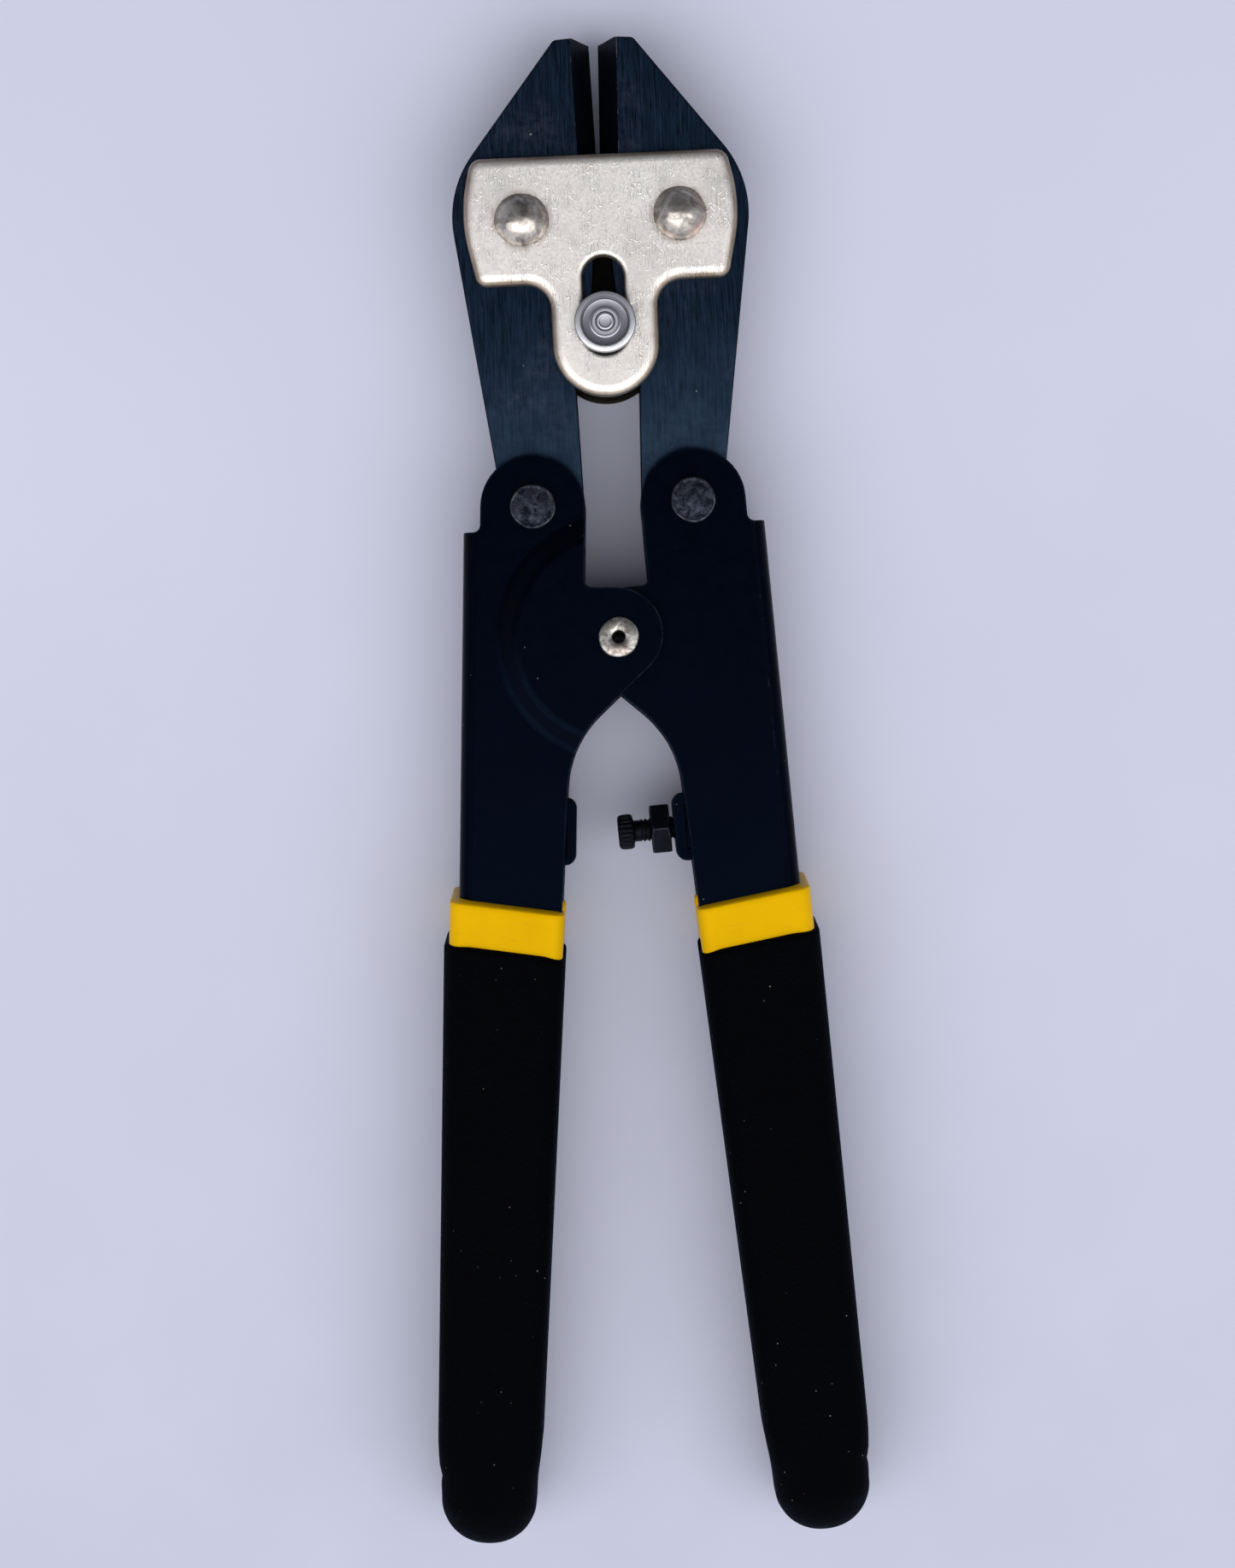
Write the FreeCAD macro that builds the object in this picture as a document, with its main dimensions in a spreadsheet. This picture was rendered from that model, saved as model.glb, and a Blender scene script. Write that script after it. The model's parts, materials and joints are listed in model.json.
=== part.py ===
import FreeCAD, Part
import math
import os
import Sketcher

# Small bolt cutters: two jaws between two face plates, two channel handles on a tubular rivet,
# a guide pin in the plates' slot and an adjustable closing stop. Millimetres and degrees.
# The left-hand pieces are drawn and the right-hand ones are the same pieces turned over about
# the tool's long axis (Y). Z = 0 is the middle of the jaws' thickness until the last step.

os.makedirs("parts", exist_ok=True)
doc = FreeCAD.newDocument("bolt_cutters")

# ---------------------------------------------------------------- driving dimensions

SIZES = [
    # linkage
    ("rivet_span", 22.0),        # between the two jaw rivets
    ("jaw_arm", 39.8),           # jaw rivet to handle rivet
    ("handle_arm", 21.75),       # handle rivet to the handles' pivot
    ("jaw_splay", 1.6),          # outward lean of a closed jaw's arm
    ("rest_open", 1.4),          # each blade's opening as the tool lies
    ("handle_lean", 3.15),       # each handle's lean as the tool lies
    ("open_travel", 10.1),       # each handle, from rest to fully open
    # stack across the thickness
    ("jaw_thick", 8.0),
    ("side_gap", 0.1),           # beside a piece that turns between two walls
    ("plate_thick", 1.8),
    ("sheet_thick", 1.6),        # handle sheet
    ("turn_gap", 0.05),          # radial, shaft in hole
    ("open_pivot_gap", 0.3),    # radial, right jaw on its rivet
    # jaws
    ("cut_spare", 1.0),          # how far a cut runs past the material
    ("tip_height", 24.95),       # above the jaw rivet
    ("tip_slant", 0.3),          # lower at the cutting edge
    ("tip_crown", 0.2),          # higher where the grinding ends
    ("tip_ground", 2.3),         # ground end of the tip, across
    ("tip_flat", 2.6),
    ("blade_gap", 0.04),         # each blade to the middle when closed
    ("bevel_width", 2.6),
    ("bevel_start", 6.5),        # above the jaw rivet
    ("shoulder_out", 10.28),     # outer corner beside the jaw rivet
    ("shoulder_up", 5.0),
    ("shoulder_round", 15.0),
    ("arm_out", 5.93),           # outer edge near the handle rivet
    ("arm_low", 33.9),
    ("arm_taper", 0.6),          # outer edge, further in at the handle rivet
    ("arm_inset", 4.95),         # inner edge of the closed arm to the middle
    ("relief_low", 21.5),        # where the inner edge meets the arm
    ("relief_high", 11.5),
    ("relief_in", 1.95),
    ("jaw_end_round", 7.2),
    ("jaw_edge_round", 0.3),
    # face plates
    ("plate_rise", 8.85),        # top edge above the rivets
    ("plate_drop", 8.95),        # bottom edge below the rivets
    ("plate_margin_top", 6.75),  # beyond the rivets
    ("plate_margin_mid", 8.6),
    ("plate_widest", 1.0),       # above the rivets
    ("plate_margin_low", 6.45),
    ("plate_side_round", 22.0),
    ("plate_top_round", 1.9),
    ("plate_low_round", 1.7),
    ("plate_neck_round", 3.5),
    ("plate_tongue", 7.4),       # half width and end radius of the tongue
    ("tongue_drop", 17.5),
    ("plate_edge_round", 0.8),
    ("slot_half", 2.9),
    ("slot_rise_drop", 9.1),     # upper end of the slot, below the rivets
    ("slot_spare", 0.3),         # past the pin's lowest place
    # jaw rivets
    ("jaw_rivet_shank", 2.5),
    ("jaw_rivet_head", 3.7),
    ("jaw_rivet_dome", 2.5),
    # guide pin and caps
    ("pin_drop", 14.75),         # below the jaw rivets, as the tool lies
    ("pin_half", 2.7),
    ("pin_gap", 0.35),
    ("pin_stud", 1.25),
    ("cap_half", 4.25),
    ("cap_thick", 1.6),
    ("cap_rim", 0.8),
    ("cap_groove", 0.55),
    ("cap_boss", 1.9),
    ("cap_soft", 0.3),           # its slopes and chamfer
    ("cap_sunk", 0.1),           # the pin's end and the boss below the rim
    # handles
    ("ear_round", 7.3),
    ("ear_step", 2.35),          # ear to the back of the spine
    ("ear_shoulder", 3.65),      # end of the spine below the ear rivet
    ("lobe_round", 6.4),
    ("lobe_shift", 0.5),
    ("lobe_inset", 0.25),
    ("arch_drop", 14.9),
    ("arch_round", 15.0),
    ("edge_taper", 2.0),         # inner edge against the spine
    ("channel_end", 115.0),      # below the pivot
    ("bend_round", 2.1),
    ("corner_round", 1.0),
    ("joggle_inner", 14.4),
    ("joggle_outer", 16.7),
    ("handle_rivet_shank", 2.2),
    ("handle_rivet_head", 3.15),
    ("handle_rivet_rise", 0.9),
    # handle pivot
    ("pivot_shank", 1.9),
    ("pivot_bore", 0.85),
    ("pivot_head", 2.8),
    ("pivot_rise", 0.9),
    ("spacer_half", 3.4),
    # closing stop
    ("stop_drop", 27.0),         # screw axis below the pivot
    ("stop_half", 4.75),
    ("stop_round", 1.5),
    ("pad_inset", 5.6),          # left face to the pivot's axis line
    ("bracket_inset", 5.1),
    ("screw_shank", 1.65),
    ("screw_head", 2.45),
    ("screw_head_long", 2.2),
    ("screw_stand", 2.75),       # head face beyond the pivot's axis line
    ("screw_long", 12.0),
    ("socket_half", 1.15),
    ("socket_deep", 1.3),
    ("nut_flats", 6.7),
    ("nut_thick", 2.75),
    ("nut_gap", 0.5),
    # dipped coats
    ("band_start", 36.65),        # below the pivot, on the handle's middle line
    ("band_long", 5.9),
    ("dip_slant", 6.5),          # lower on the inner side
    ("dip_tilt", 7.5),           # lower on the front
    ("band_back", 1.25),
    ("band_face", 1.7),
    ("band_lip", 0.35),
    ("band_round", 2.9),
    ("grip_back", 2.0),
    ("grip_face", 2.7),
    ("grip_lip", 0.7),
    ("grip_round", 3.3),
    ("grip_end", 126.8),         # below the pivot
    ("bulb_half", 6.6),
    ("bulb_round", 6.4),
    ("bulb_shift", 0.7),
]

sheet = doc.addObject("Spreadsheet::Sheet", "sizes")
for row, (alias, size) in enumerate(SIZES, start=1):
    sheet.set(f"A{row}", alias)
    sheet.set(f"B{row}", str(size))
    sheet.setAlias(f"B{row}", alias)
doc.recompute()

ALIASES = sorted((alias for alias, size in SIZES), key=len, reverse=True)

# ---------------------------------------------------------------- sizes that follow from them

worked = doc.addObject("App::VarSet", "worked")
FOLLOWERS = []


def linked(text):
    """The expression with each size's name pointed at its cell or its worked-out value."""
    out = []
    word = ""
    for letter in text + " ":
        if letter.isalnum() or letter == "_":
            word += letter
            continue
        if word in ALIASES:
            word = "sizes." + word
        elif word in FOLLOWERS:
            word = "worked." + word
        out.append(word + letter)
        word = ""
    return "".join(out).strip()


def value(text):
    """The number that an expression of sizes comes to."""
    found = sheet.evalExpression(linked(text))
    return float(getattr(found, "Value", found))


def follow(name, text):
    """Adds a size that is worked out from others."""
    worked.addProperty("App::PropertyFloat", name)
    worked.setExpression(name, linked(text))
    doc.recompute()
    FOLLOWERS.append(name)


follow("half_span", "rivet_span / 2")
follow("inner_half", "jaw_thick / 2 + side_gap")
follow("wall_half", "inner_half + sheet_thick")
follow("plate_half", "inner_half + plate_thick")
follow("lobe_under", "wall_half + side_gap")
follow("lobe_top", "lobe_under + sheet_thick")
follow("full_half", "plate_half + jaw_rivet_dome")
follow("knee_x", "half_span + jaw_arm * sin((jaw_splay - rest_open) * 1deg)")
follow("arm_angle", "asin(knee_x / handle_arm) / 1deg")
follow("head_rise", "jaw_arm * cos((jaw_splay - rest_open) * 1deg) + handle_arm * cos(arm_angle * 1deg)")
follow("ear_x", "-handle_arm * sin((arm_angle + handle_lean) * 1deg)")
follow("ear_y", "handle_arm * cos((arm_angle + handle_lean) * 1deg)")
follow("spine_x", "ear_x - ear_round - ear_step")
follow("spine_in", "spine_x + sheet_thick")
follow("open_angle", "arm_angle - open_travel")
follow("jaw_open_arm", "asin((handle_arm * sin(open_angle * 1deg) - half_span) / jaw_arm) / 1deg")
follow("jaw_full_open", "jaw_splay - jaw_open_arm")
follow("pin_low", "pin_drop + half_span * sin(rest_open * 1deg)")
follow("pin_high", "pin_drop - half_span * (sin(jaw_full_open * 1deg) - sin(rest_open * 1deg))")
follow("notch_x", "half_span * cos(jaw_full_open * 1deg) - pin_high * sin(jaw_full_open * 1deg)")
follow("notch_open", "half_span * sin(jaw_full_open * 1deg) + pin_high * cos(jaw_full_open * 1deg)")
follow("notch_drop", "(pin_low + notch_open) / 2")
follow("edge_x", "half_span - blade_gap")
follow("lobe_x", "-lobe_inset")
follow("lobe_low_x", "lobe_x + lobe_round * sin(45 * 1deg)")
follow("lobe_low_y", "lobe_shift - lobe_round * sin(45 * 1deg)")
follow("arch_x", "lobe_low_x - (arch_drop + lobe_low_y)")
follow("end_x", "arch_x - (channel_end - arch_drop) * tan(edge_taper * 1deg)")
follow("joggle_slope", "atan((lobe_top - wall_half) / (joggle_outer - joggle_inner)) / 1deg")
follow("joggle_shift", "sheet_thick * tan(joggle_slope * 0.5deg)")
follow("middle_x", "(spine_x + arch_x) / 2")
follow("bulb_x", "(spine_x + end_x) / 2 - bulb_shift")

# ---------------------------------------------------------------- sketch and feature helpers


def new_body(label):
    """An empty body with its own label."""
    body = doc.addObject("PartDesign::Body", label)
    body.Label = label
    return body


def origin_plane(body, role):
    """The body's own origin plane with this role."""
    return next(item for item in body.Origin.OriginFeatures if item.Role == role)


def new_sketch(body, name, role="XY_Plane", lift="0"):
    """A sketch on one of the body's origin planes, lifted along the plane's normal."""
    sketch = body.newObject("Sketcher::SketchObject", name)
    sketch.AttachmentSupport = [(origin_plane(body, role), "")]
    sketch.MapMode = "FlatFace"
    sketch.setExpression("AttachmentOffset.Base.z", linked(lift))
    return sketch


def pin_point(sketch, shape, end, across, up):
    """Ties a point of the sketch to its two worked-out distances from the origin."""
    for kind, text in (("DistanceX", across), ("DistanceY", up)):
        number = sketch.addConstraint(Sketcher.Constraint(kind, -1, 1, shape, end, value(text)))
        sketch.setExpression(f"Constraints[{number}]", linked(text))


def add_polygon(sketch, corners):
    """A closed outline of straight edges; each corner is a pair of expressions."""
    spots = [FreeCAD.Vector(value(across), value(up), 0) for across, up in corners]
    count = len(spots)
    first = sketch.GeometryCount
    for index in range(count):
        sketch.addGeometry(Part.LineSegment(spots[index], spots[(index + 1) % count]))
    for index in range(count):
        following = first + (index + 1) % count
        sketch.addConstraint(Sketcher.Constraint("Coincident", first + index, 2, following, 1))
    for index, (across, up) in enumerate(corners):
        pin_point(sketch, first + index, 1, across, up)


def add_circle(sketch, across, up, radius):
    """A circle by its centre and radius."""
    centre = FreeCAD.Vector(value(across), value(up), 0)
    shape = sketch.addGeometry(Part.Circle(centre, FreeCAD.Vector(0, 0, 1), value(radius)))
    pin_point(sketch, shape, 3, across, up)
    number = sketch.addConstraint(Sketcher.Constraint("Radius", shape, value(radius)))
    sketch.setExpression(f"Constraints[{number}]", linked(radius))


def add_slot(sketch, across, low, high, radius):
    """An upright slot with two round ends."""
    reach = value(radius)
    ends = []
    for up, start in ((high, 0.0), (low, math.pi)):
        centre = FreeCAD.Vector(value(across), value(up), 0)
        circle = Part.Circle(centre, FreeCAD.Vector(0, 0, 1), reach)
        ends.append(sketch.addGeometry(Part.ArcOfCircle(circle, start, start + math.pi)))
    left, right = value(across) - reach, value(across) + reach
    bottom, top = value(low), value(high)
    side_a = Part.LineSegment(FreeCAD.Vector(left, top, 0), FreeCAD.Vector(left, bottom, 0))
    side_b = Part.LineSegment(FreeCAD.Vector(right, bottom, 0), FreeCAD.Vector(right, top, 0))
    side_a = sketch.addGeometry(side_a)
    side_b = sketch.addGeometry(side_b)
    upper, lower = ends
    for one, end, other, start in (
        (upper, 2, side_a, 1), (side_a, 2, lower, 1), (lower, 2, side_b, 1), (side_b, 2, upper, 1),
    ):
        sketch.addConstraint(Sketcher.Constraint("Tangent", one, end, other, start))
    pin_point(sketch, upper, 3, across, high)
    number = sketch.addConstraint(Sketcher.Constraint("Radius", upper, reach))
    sketch.setExpression(f"Constraints[{number}]", linked(radius))
    number = sketch.addConstraint(Sketcher.Constraint("DistanceY", -1, 1, lower, 3, bottom))
    sketch.setExpression(f"Constraints[{number}]", linked(low))


def pad(body, sketch, front, back):
    """Adds the sketch's area from its plane to the front and to the back."""
    feature = body.newObject("PartDesign::Pad", sketch.Name + "_pad")
    feature.Profile = sketch
    feature.SideType = "Two sides"
    feature.setExpression("Length", linked(front))
    feature.setExpression("Length2", linked(back))
    doc.recompute()
    return feature


def pocket(body, sketch, front, back):
    """Cuts the sketch's area away on both sides of its plane; the body has to get smaller."""
    before = body.Shape.Volume
    feature = body.newObject("PartDesign::Pocket", sketch.Name + "_cut")
    feature.Profile = sketch
    feature.SideType = "Two sides"
    feature.setExpression("Length", linked(back))
    feature.setExpression("Length2", linked(front))
    doc.recompute()
    if body.Shape.Volume >= before:
        raise RuntimeError(feature.Name + " cuts nothing")
    return feature


def turned(body, kind, sketch):
    """A full turn of the sketch about its upright axis, added or cut."""
    feature = body.newObject("PartDesign::" + kind, sketch.Name + "_turned")
    feature.Profile = sketch
    feature.ReferenceAxis = (sketch, ["V_Axis"])
    feature.Angle = 360.0
    doc.recompute()
    return feature


def pick_edges(shape, wanted):
    """The names of the edges whose middle point and two ends pass the test."""
    names = []
    for number, edge in enumerate(shape.Edges, start=1):
        if len(edge.Vertexes) < 2:
            ends = [edge.valueAt(edge.FirstParameter)] * 2
        else:
            ends = [vertex.Point for vertex in edge.Vertexes]
        middle = edge.valueAt((edge.FirstParameter + edge.LastParameter) / 2)
        if wanted([middle] + ends):
            names.append(f"Edge{number}")
    return names


def round_edges(body, radius, wanted, name):
    """Rounds the chosen edges of the body so far."""
    base = body.Tip
    edges = pick_edges(base.Shape, wanted)
    if not edges:
        raise RuntimeError(name + " finds no edge")
    feature = body.newObject("PartDesign::Fillet", name)
    feature.Base = (base, edges)
    feature.setExpression("Radius", linked(radius))
    doc.recompute()
    if "Invalid" in feature.State:
        raise RuntimeError(name + " fails: " + feature.getStatusString())
    return feature


NEAR = 1e-3


def upright_at(*spots):
    """A test for upright edges that stand over one of the spots."""
    places = [(value(across), value(up)) for across, up in spots]

    def wanted(points):
        return any(
            all(abs(p.x - x) < NEAR and abs(p.y - y) < NEAR for p in points) for x, y in places
        )

    return wanted


def on_levels(*levels):
    """A test for edges that lie wholly at one of the heights."""
    heights = [value(level) for level in levels]

    def wanted(points):
        return any(all(abs(p.z - height) < NEAR for p in points) for height in heights)

    return wanted


# ---------------------------------------------------------------- jaws


def make_jaw(label, rivet_gap):
    """One jaw, closed, with its rivet hole at the origin and the tool's middle at +x."""
    body = new_body(label)
    outline = new_sketch(body, label + "_outline")
    add_polygon(outline, [
        ("edge_x", "tip_height - tip_slant"),
        ("edge_x - tip_ground", "tip_height + tip_crown"),
        ("edge_x - tip_ground - tip_flat", "tip_height + tip_crown / 2"),
        ("-shoulder_out", "shoulder_up"),
        ("-arm_out", "-arm_low"),
        ("-arm_out + arm_taper", "-jaw_arm"),
        ("half_span - arm_inset", "-jaw_arm"),
        ("half_span - arm_inset", "-relief_low"),
        ("half_span - relief_in", "-relief_high"),
        ("edge_x", "bevel_start"),
    ])
    pad(body, outline, "jaw_thick / 2", "jaw_thick / 2")
    shoulder = upright_at(("-shoulder_out", "shoulder_up"))
    round_edges(body, "shoulder_round", shoulder, label + "_shoulder")
    tip = upright_at(("edge_x - tip_ground - tip_flat", "tip_height + tip_crown / 2"))
    round_edges(body, "corner_round", tip, label + "_tip")

    arm_end = new_sketch(body, label + "_end")
    end_x = "-jaw_arm * sin(jaw_splay * 1deg)"
    end_y = "-jaw_arm * cos(jaw_splay * 1deg)"
    add_circle(arm_end, end_x, end_y, "jaw_end_round")
    pad(body, arm_end, "jaw_thick / 2", "jaw_thick / 2")
    round_edges(body, "jaw_edge_round", on_levels("jaw_thick / 2", "-jaw_thick / 2"), label + "_soft")

    bevel = new_sketch(body, label + "_bevel", "XZ_Plane", "-bevel_start")
    rake = "bevel_width / (jaw_thick / 2)"
    add_polygon(bevel, [
        ("edge_x", "0"),
        (f"edge_x - {rake} * jaw_thick", "jaw_thick"),
        ("edge_x + jaw_thick", "jaw_thick"),
        ("edge_x + jaw_thick", "-jaw_thick"),
        (f"edge_x - {rake} * jaw_thick", "-jaw_thick"),
    ])
    pocket(body, bevel, "0", "tip_height")

    notch = new_sketch(body, label + "_notch")
    add_circle(notch, "notch_x", "-notch_drop", "pin_half + pin_gap")
    pocket(body, notch, "jaw_thick", "jaw_thick")

    holes = new_sketch(body, label + "_holes")
    add_circle(holes, "0", "0", f"jaw_rivet_shank + {rivet_gap}")
    add_circle(holes, end_x, end_y, "handle_rivet_shank + turn_gap")
    pocket(body, holes, "jaw_thick", "jaw_thick")
    return body


# ---------------------------------------------------------------- face plates and their rivets


def make_plate(label):
    """One face plate: a wide head over the rivets and a tongue round the guide slot."""
    body = new_body(label)
    outline = new_sketch(body, label + "_outline", lift="inner_half")
    right = [
        ("half_span + plate_margin_top", "plate_rise"),
        ("half_span + plate_margin_mid", "plate_widest"),
        ("half_span + plate_margin_low", "-plate_drop"),
        ("plate_tongue", "-plate_drop"),
        ("plate_tongue", "-tongue_drop"),
    ]
    left = [(f"-({across})", up) for across, up in reversed(right)]
    add_polygon(outline, right + left)
    pad(body, outline, "plate_thick", "0")
    both = [[right[n], left[-1 - n]] for n in range(len(right))]
    round_edges(body, "plate_top_round", upright_at(*both[0]), label + "_top")
    round_edges(body, "plate_side_round", upright_at(*both[1]), label + "_side")
    round_edges(body, "plate_low_round", upright_at(*both[2]), label + "_low")
    round_edges(body, "plate_neck_round", upright_at(*both[3]), label + "_neck")
    tongue = new_sketch(body, label + "_tongue", lift="inner_half")
    add_circle(tongue, "0", "-tongue_drop", "plate_tongue")
    pad(body, tongue, "plate_thick", "0")
    slot = new_sketch(body, label + "_slot", lift="inner_half")
    add_slot(slot, "0", "-pin_low - slot_spare", "-slot_rise_drop", "slot_half")
    pocket(body, slot, "plate_thick", "0")
    round_edges(body, "plate_edge_round", on_levels("plate_half"), label + "_soft")
    holes = new_sketch(body, label + "_holes", lift="inner_half")
    for across in ("half_span", "-half_span"):
        add_circle(holes, across, "0", "jaw_rivet_shank")
    pocket(body, holes, "plate_thick", "0")
    return body


def make_turned(label, profile):
    """A turned piece on the Z axis from a profile of radius and height."""
    body = new_body(label)
    sketch = new_sketch(body, label + "_profile", "XZ_Plane")
    add_polygon(sketch, profile)
    turned(body, "Revolution", sketch)
    return body


def make_jaw_rivet(label):
    """A rivet with a dome at each end, drawn as a shank and two ball caps."""
    body = new_body(label)
    shank = new_sketch(body, label + "_shank")
    add_circle(shank, "0", "0", "jaw_rivet_shank")
    pad(body, shank, "plate_half", "plate_half")
    for end, sign in (("front", "1"), ("back", "-1")):
        dome = new_sketch(body, f"{label}_{end}", "XZ_Plane")
        add_dome(dome, "jaw_rivet_head", "jaw_rivet_dome", "plate_half", sign)
        turned(body, "Revolution", dome)
    return body


def add_dome(sketch, radius, rise, level, sign):
    """Half the section of a domed head: its foot, its axis and the arc over it."""
    reach, height, foot, way = value(radius), value(rise), value(level), float(sign)
    ball = (reach * reach + height * height) / (2 * height)
    centre_y = way * (foot + height - ball)
    top, rim = way * (foot + height), way * foot
    start = math.atan2(rim - centre_y, reach)
    angles = (start, math.pi / 2) if way > 0 else (-math.pi / 2, start)
    circle = Part.Circle(FreeCAD.Vector(0, centre_y, 0), FreeCAD.Vector(0, 0, 1), ball)
    arc = sketch.addGeometry(Part.ArcOfCircle(circle, *angles))
    axis = sketch.addGeometry(
        Part.LineSegment(FreeCAD.Vector(0, top, 0), FreeCAD.Vector(0, rim, 0)))
    foot_line = sketch.addGeometry(
        Part.LineSegment(FreeCAD.Vector(0, rim, 0), FreeCAD.Vector(reach, rim, 0)))
    rim_end, top_end = (1, 2) if way > 0 else (2, 1)
    sketch.addConstraint(Sketcher.Constraint("Coincident", arc, top_end, axis, 1))
    sketch.addConstraint(Sketcher.Constraint("Coincident", axis, 2, foot_line, 1))
    sketch.addConstraint(Sketcher.Constraint("Coincident", foot_line, 2, arc, rim_end))
    sketch.addConstraint(Sketcher.Constraint("PointOnObject", arc, 3, -2))
    pin_point(sketch, axis, 1, "0", f"{sign} * ({level} + {rise})")
    pin_point(sketch, foot_line, 1, "0", f"{sign} * ({level})")
    pin_point(sketch, foot_line, 2, radius, f"{sign} * ({level})")


# ---------------------------------------------------------------- handles


def make_handle(label, pivot_hole):
    """One pressed channel handle with its pivot at the origin and its grip along -y."""
    body = new_body(label)
    outline = new_sketch(body, label + "_outline")
    add_polygon(outline, [
        ("spine_x", "ear_y - ear_shoulder"),
        ("ear_x - ear_round", "ear_y - ear_shoulder"),
        ("ear_x - ear_round", "ear_y"),
        ("ear_x + ear_round", "ear_y"),
        ("ear_x + ear_round", "lobe_shift + lobe_round"),
        ("lobe_x", "lobe_shift + lobe_round"),
        ("lobe_low_x", "lobe_low_y"),
        ("arch_x", "-arch_drop"),
        ("end_x", "-channel_end"),
        ("spine_x", "-channel_end"),
    ])
    pad(body, outline, "lobe_top", "wall_half")
    small = upright_at(
        ("ear_x - ear_round", "ear_y - ear_shoulder"), ("ear_x + ear_round", "lobe_shift + lobe_round"))
    round_edges(body, "corner_round", small, label + "_corners")
    round_edges(body, "arch_round", upright_at(("arch_x", "-arch_drop")), label + "_arch")
    ear = new_sketch(body, label + "_ear")
    add_circle(ear, "ear_x", "ear_y", "ear_round")
    pad(body, ear, "lobe_top", "wall_half")
    lobe = new_sketch(body, label + "_lobe")
    add_circle(lobe, "lobe_x", "lobe_shift", "lobe_round")
    pad(body, lobe, "lobe_top", "wall_half")

    over = new_sketch(body, label + "_over", "XZ_Plane")
    add_polygon(over, [
        ("joggle_inner", "lobe_top"),
        ("joggle_outer", "wall_half"),
        ("2 * channel_end", "wall_half"),
        ("2 * channel_end", "2 * lobe_top"),
        ("joggle_inner", "2 * lobe_top"),
    ])
    turned(body, "Groove", over)

    spine = value("spine_x")
    flats = (value("wall_half"), -value("wall_half"))

    def along_spine(points):
        return all(abs(p.x - spine) < NEAR and min(abs(p.z - f) for f in flats) < NEAR for p in points)

    round_edges(body, "bend_round", along_spine, label + "_bends")

    channel = new_sketch(body, label + "_channel")
    add_polygon(channel, [
        ("spine_in", "-channel_end - sheet_thick"),
        ("jaw_arm", "-channel_end - sheet_thick"),
        ("jaw_arm", "ear_y + 2 * ear_round"),
        ("spine_in", "ear_y + 2 * ear_round"),
    ])
    pocket(body, channel, "inner_half", "inner_half")
    under = new_sketch(body, label + "_under", "XZ_Plane")
    add_polygon(under, [
        ("0", "0"),
        ("joggle_outer - joggle_shift", "0"),
        ("joggle_outer - joggle_shift", "inner_half"),
        ("joggle_inner - joggle_shift", "lobe_under"),
        ("0", "lobe_under"),
    ])
    turned(body, "Groove", under)

    holes = new_sketch(body, label + "_holes")
    add_circle(holes, "0", "0", pivot_hole)
    add_circle(holes, "ear_x", "ear_y", "handle_rivet_shank")
    pocket(body, holes, "2 * lobe_top", "2 * lobe_top")
    return body


def make_stop_fold(label, inset, hole):
    """A folded sheet across the channel's mouth, its two legs on the spine."""
    body = new_body(label)
    outline = new_sketch(body, label + "_outline")
    add_polygon(outline, [
        ("spine_in", "-stop_drop + stop_half"),
        (f"-{inset}", "-stop_drop + stop_half"),
        (f"-{inset}", "-stop_drop - stop_half"),
        ("spine_in", "-stop_drop - stop_half"),
    ])
    pad(body, outline, "inner_half", "inner_half")
    face = upright_at((f"-{inset}", "-stop_drop + stop_half"), (f"-{inset}", "-stop_drop - stop_half"))
    round_edges(body, "stop_round", face, label + "_folds")
    hollow = new_sketch(body, label + "_hollow")
    add_polygon(hollow, [
        ("spine_in - cut_spare", "-stop_drop + stop_half - sheet_thick"),
        (f"-{inset} - sheet_thick", "-stop_drop + stop_half - sheet_thick"),
        (f"-{inset} - sheet_thick", "-stop_drop - stop_half + sheet_thick"),
        ("spine_in - cut_spare", "-stop_drop - stop_half + sheet_thick"),
    ])
    pocket(body, hollow, "inner_half", "inner_half")
    if hole:
        bore = new_sketch(body, label + "_bore", "YZ_Plane", f"-{inset}")
        add_circle(bore, "-stop_drop", "0", hole)
        pocket(body, bore, "sheet_thick", "2 * sheet_thick")
    return body


def make_coat(label, back, face, lip, low_corners):
    """The blank of a dipped coat: the channel's outline made larger, down to its low corners."""
    body = new_body(label)
    outline = new_sketch(body, label + "_outline")
    add_polygon(outline, [
        (f"spine_x - {back}", "-arch_drop"),
        (f"arch_x + {lip}", "-arch_drop"),
    ] + low_corners)
    pad(body, outline, f"wall_half + {face}", f"wall_half + {face}")
    return body


def hollow_coat(body, label, face, rounding):
    """Rounds a coat's outside and takes the channel and its mouth out of it."""
    levels = on_levels(f"wall_half + {face}", f"-wall_half - {face}")
    top = value("-arch_drop")

    def outer(points):
        return levels(points) and not all(abs(p.y - top) < NEAR for p in points)

    round_edges(body, rounding, outer, label + "_soft")
    steel = new_sketch(body, label + "_steel")
    add_polygon(steel, [
        ("spine_x", "-arch_drop + cut_spare"),
        ("arch_x + cut_spare * tan(edge_taper * 1deg)", "-arch_drop + cut_spare"),
        ("end_x", "-channel_end"),
        ("spine_x", "-channel_end"),
    ])
    pocket(body, steel, "wall_half", "wall_half")
    mouth = new_sketch(body, label + "_mouth")
    add_polygon(mouth, [
        ("middle_x", "-arch_drop + cut_spare"),
        ("0", "-arch_drop + cut_spare"),
        ("0", "-channel_end"),
        ("middle_x", "-channel_end"),
    ])
    pocket(body, mouth, "inner_half", "inner_half")
    return body


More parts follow.
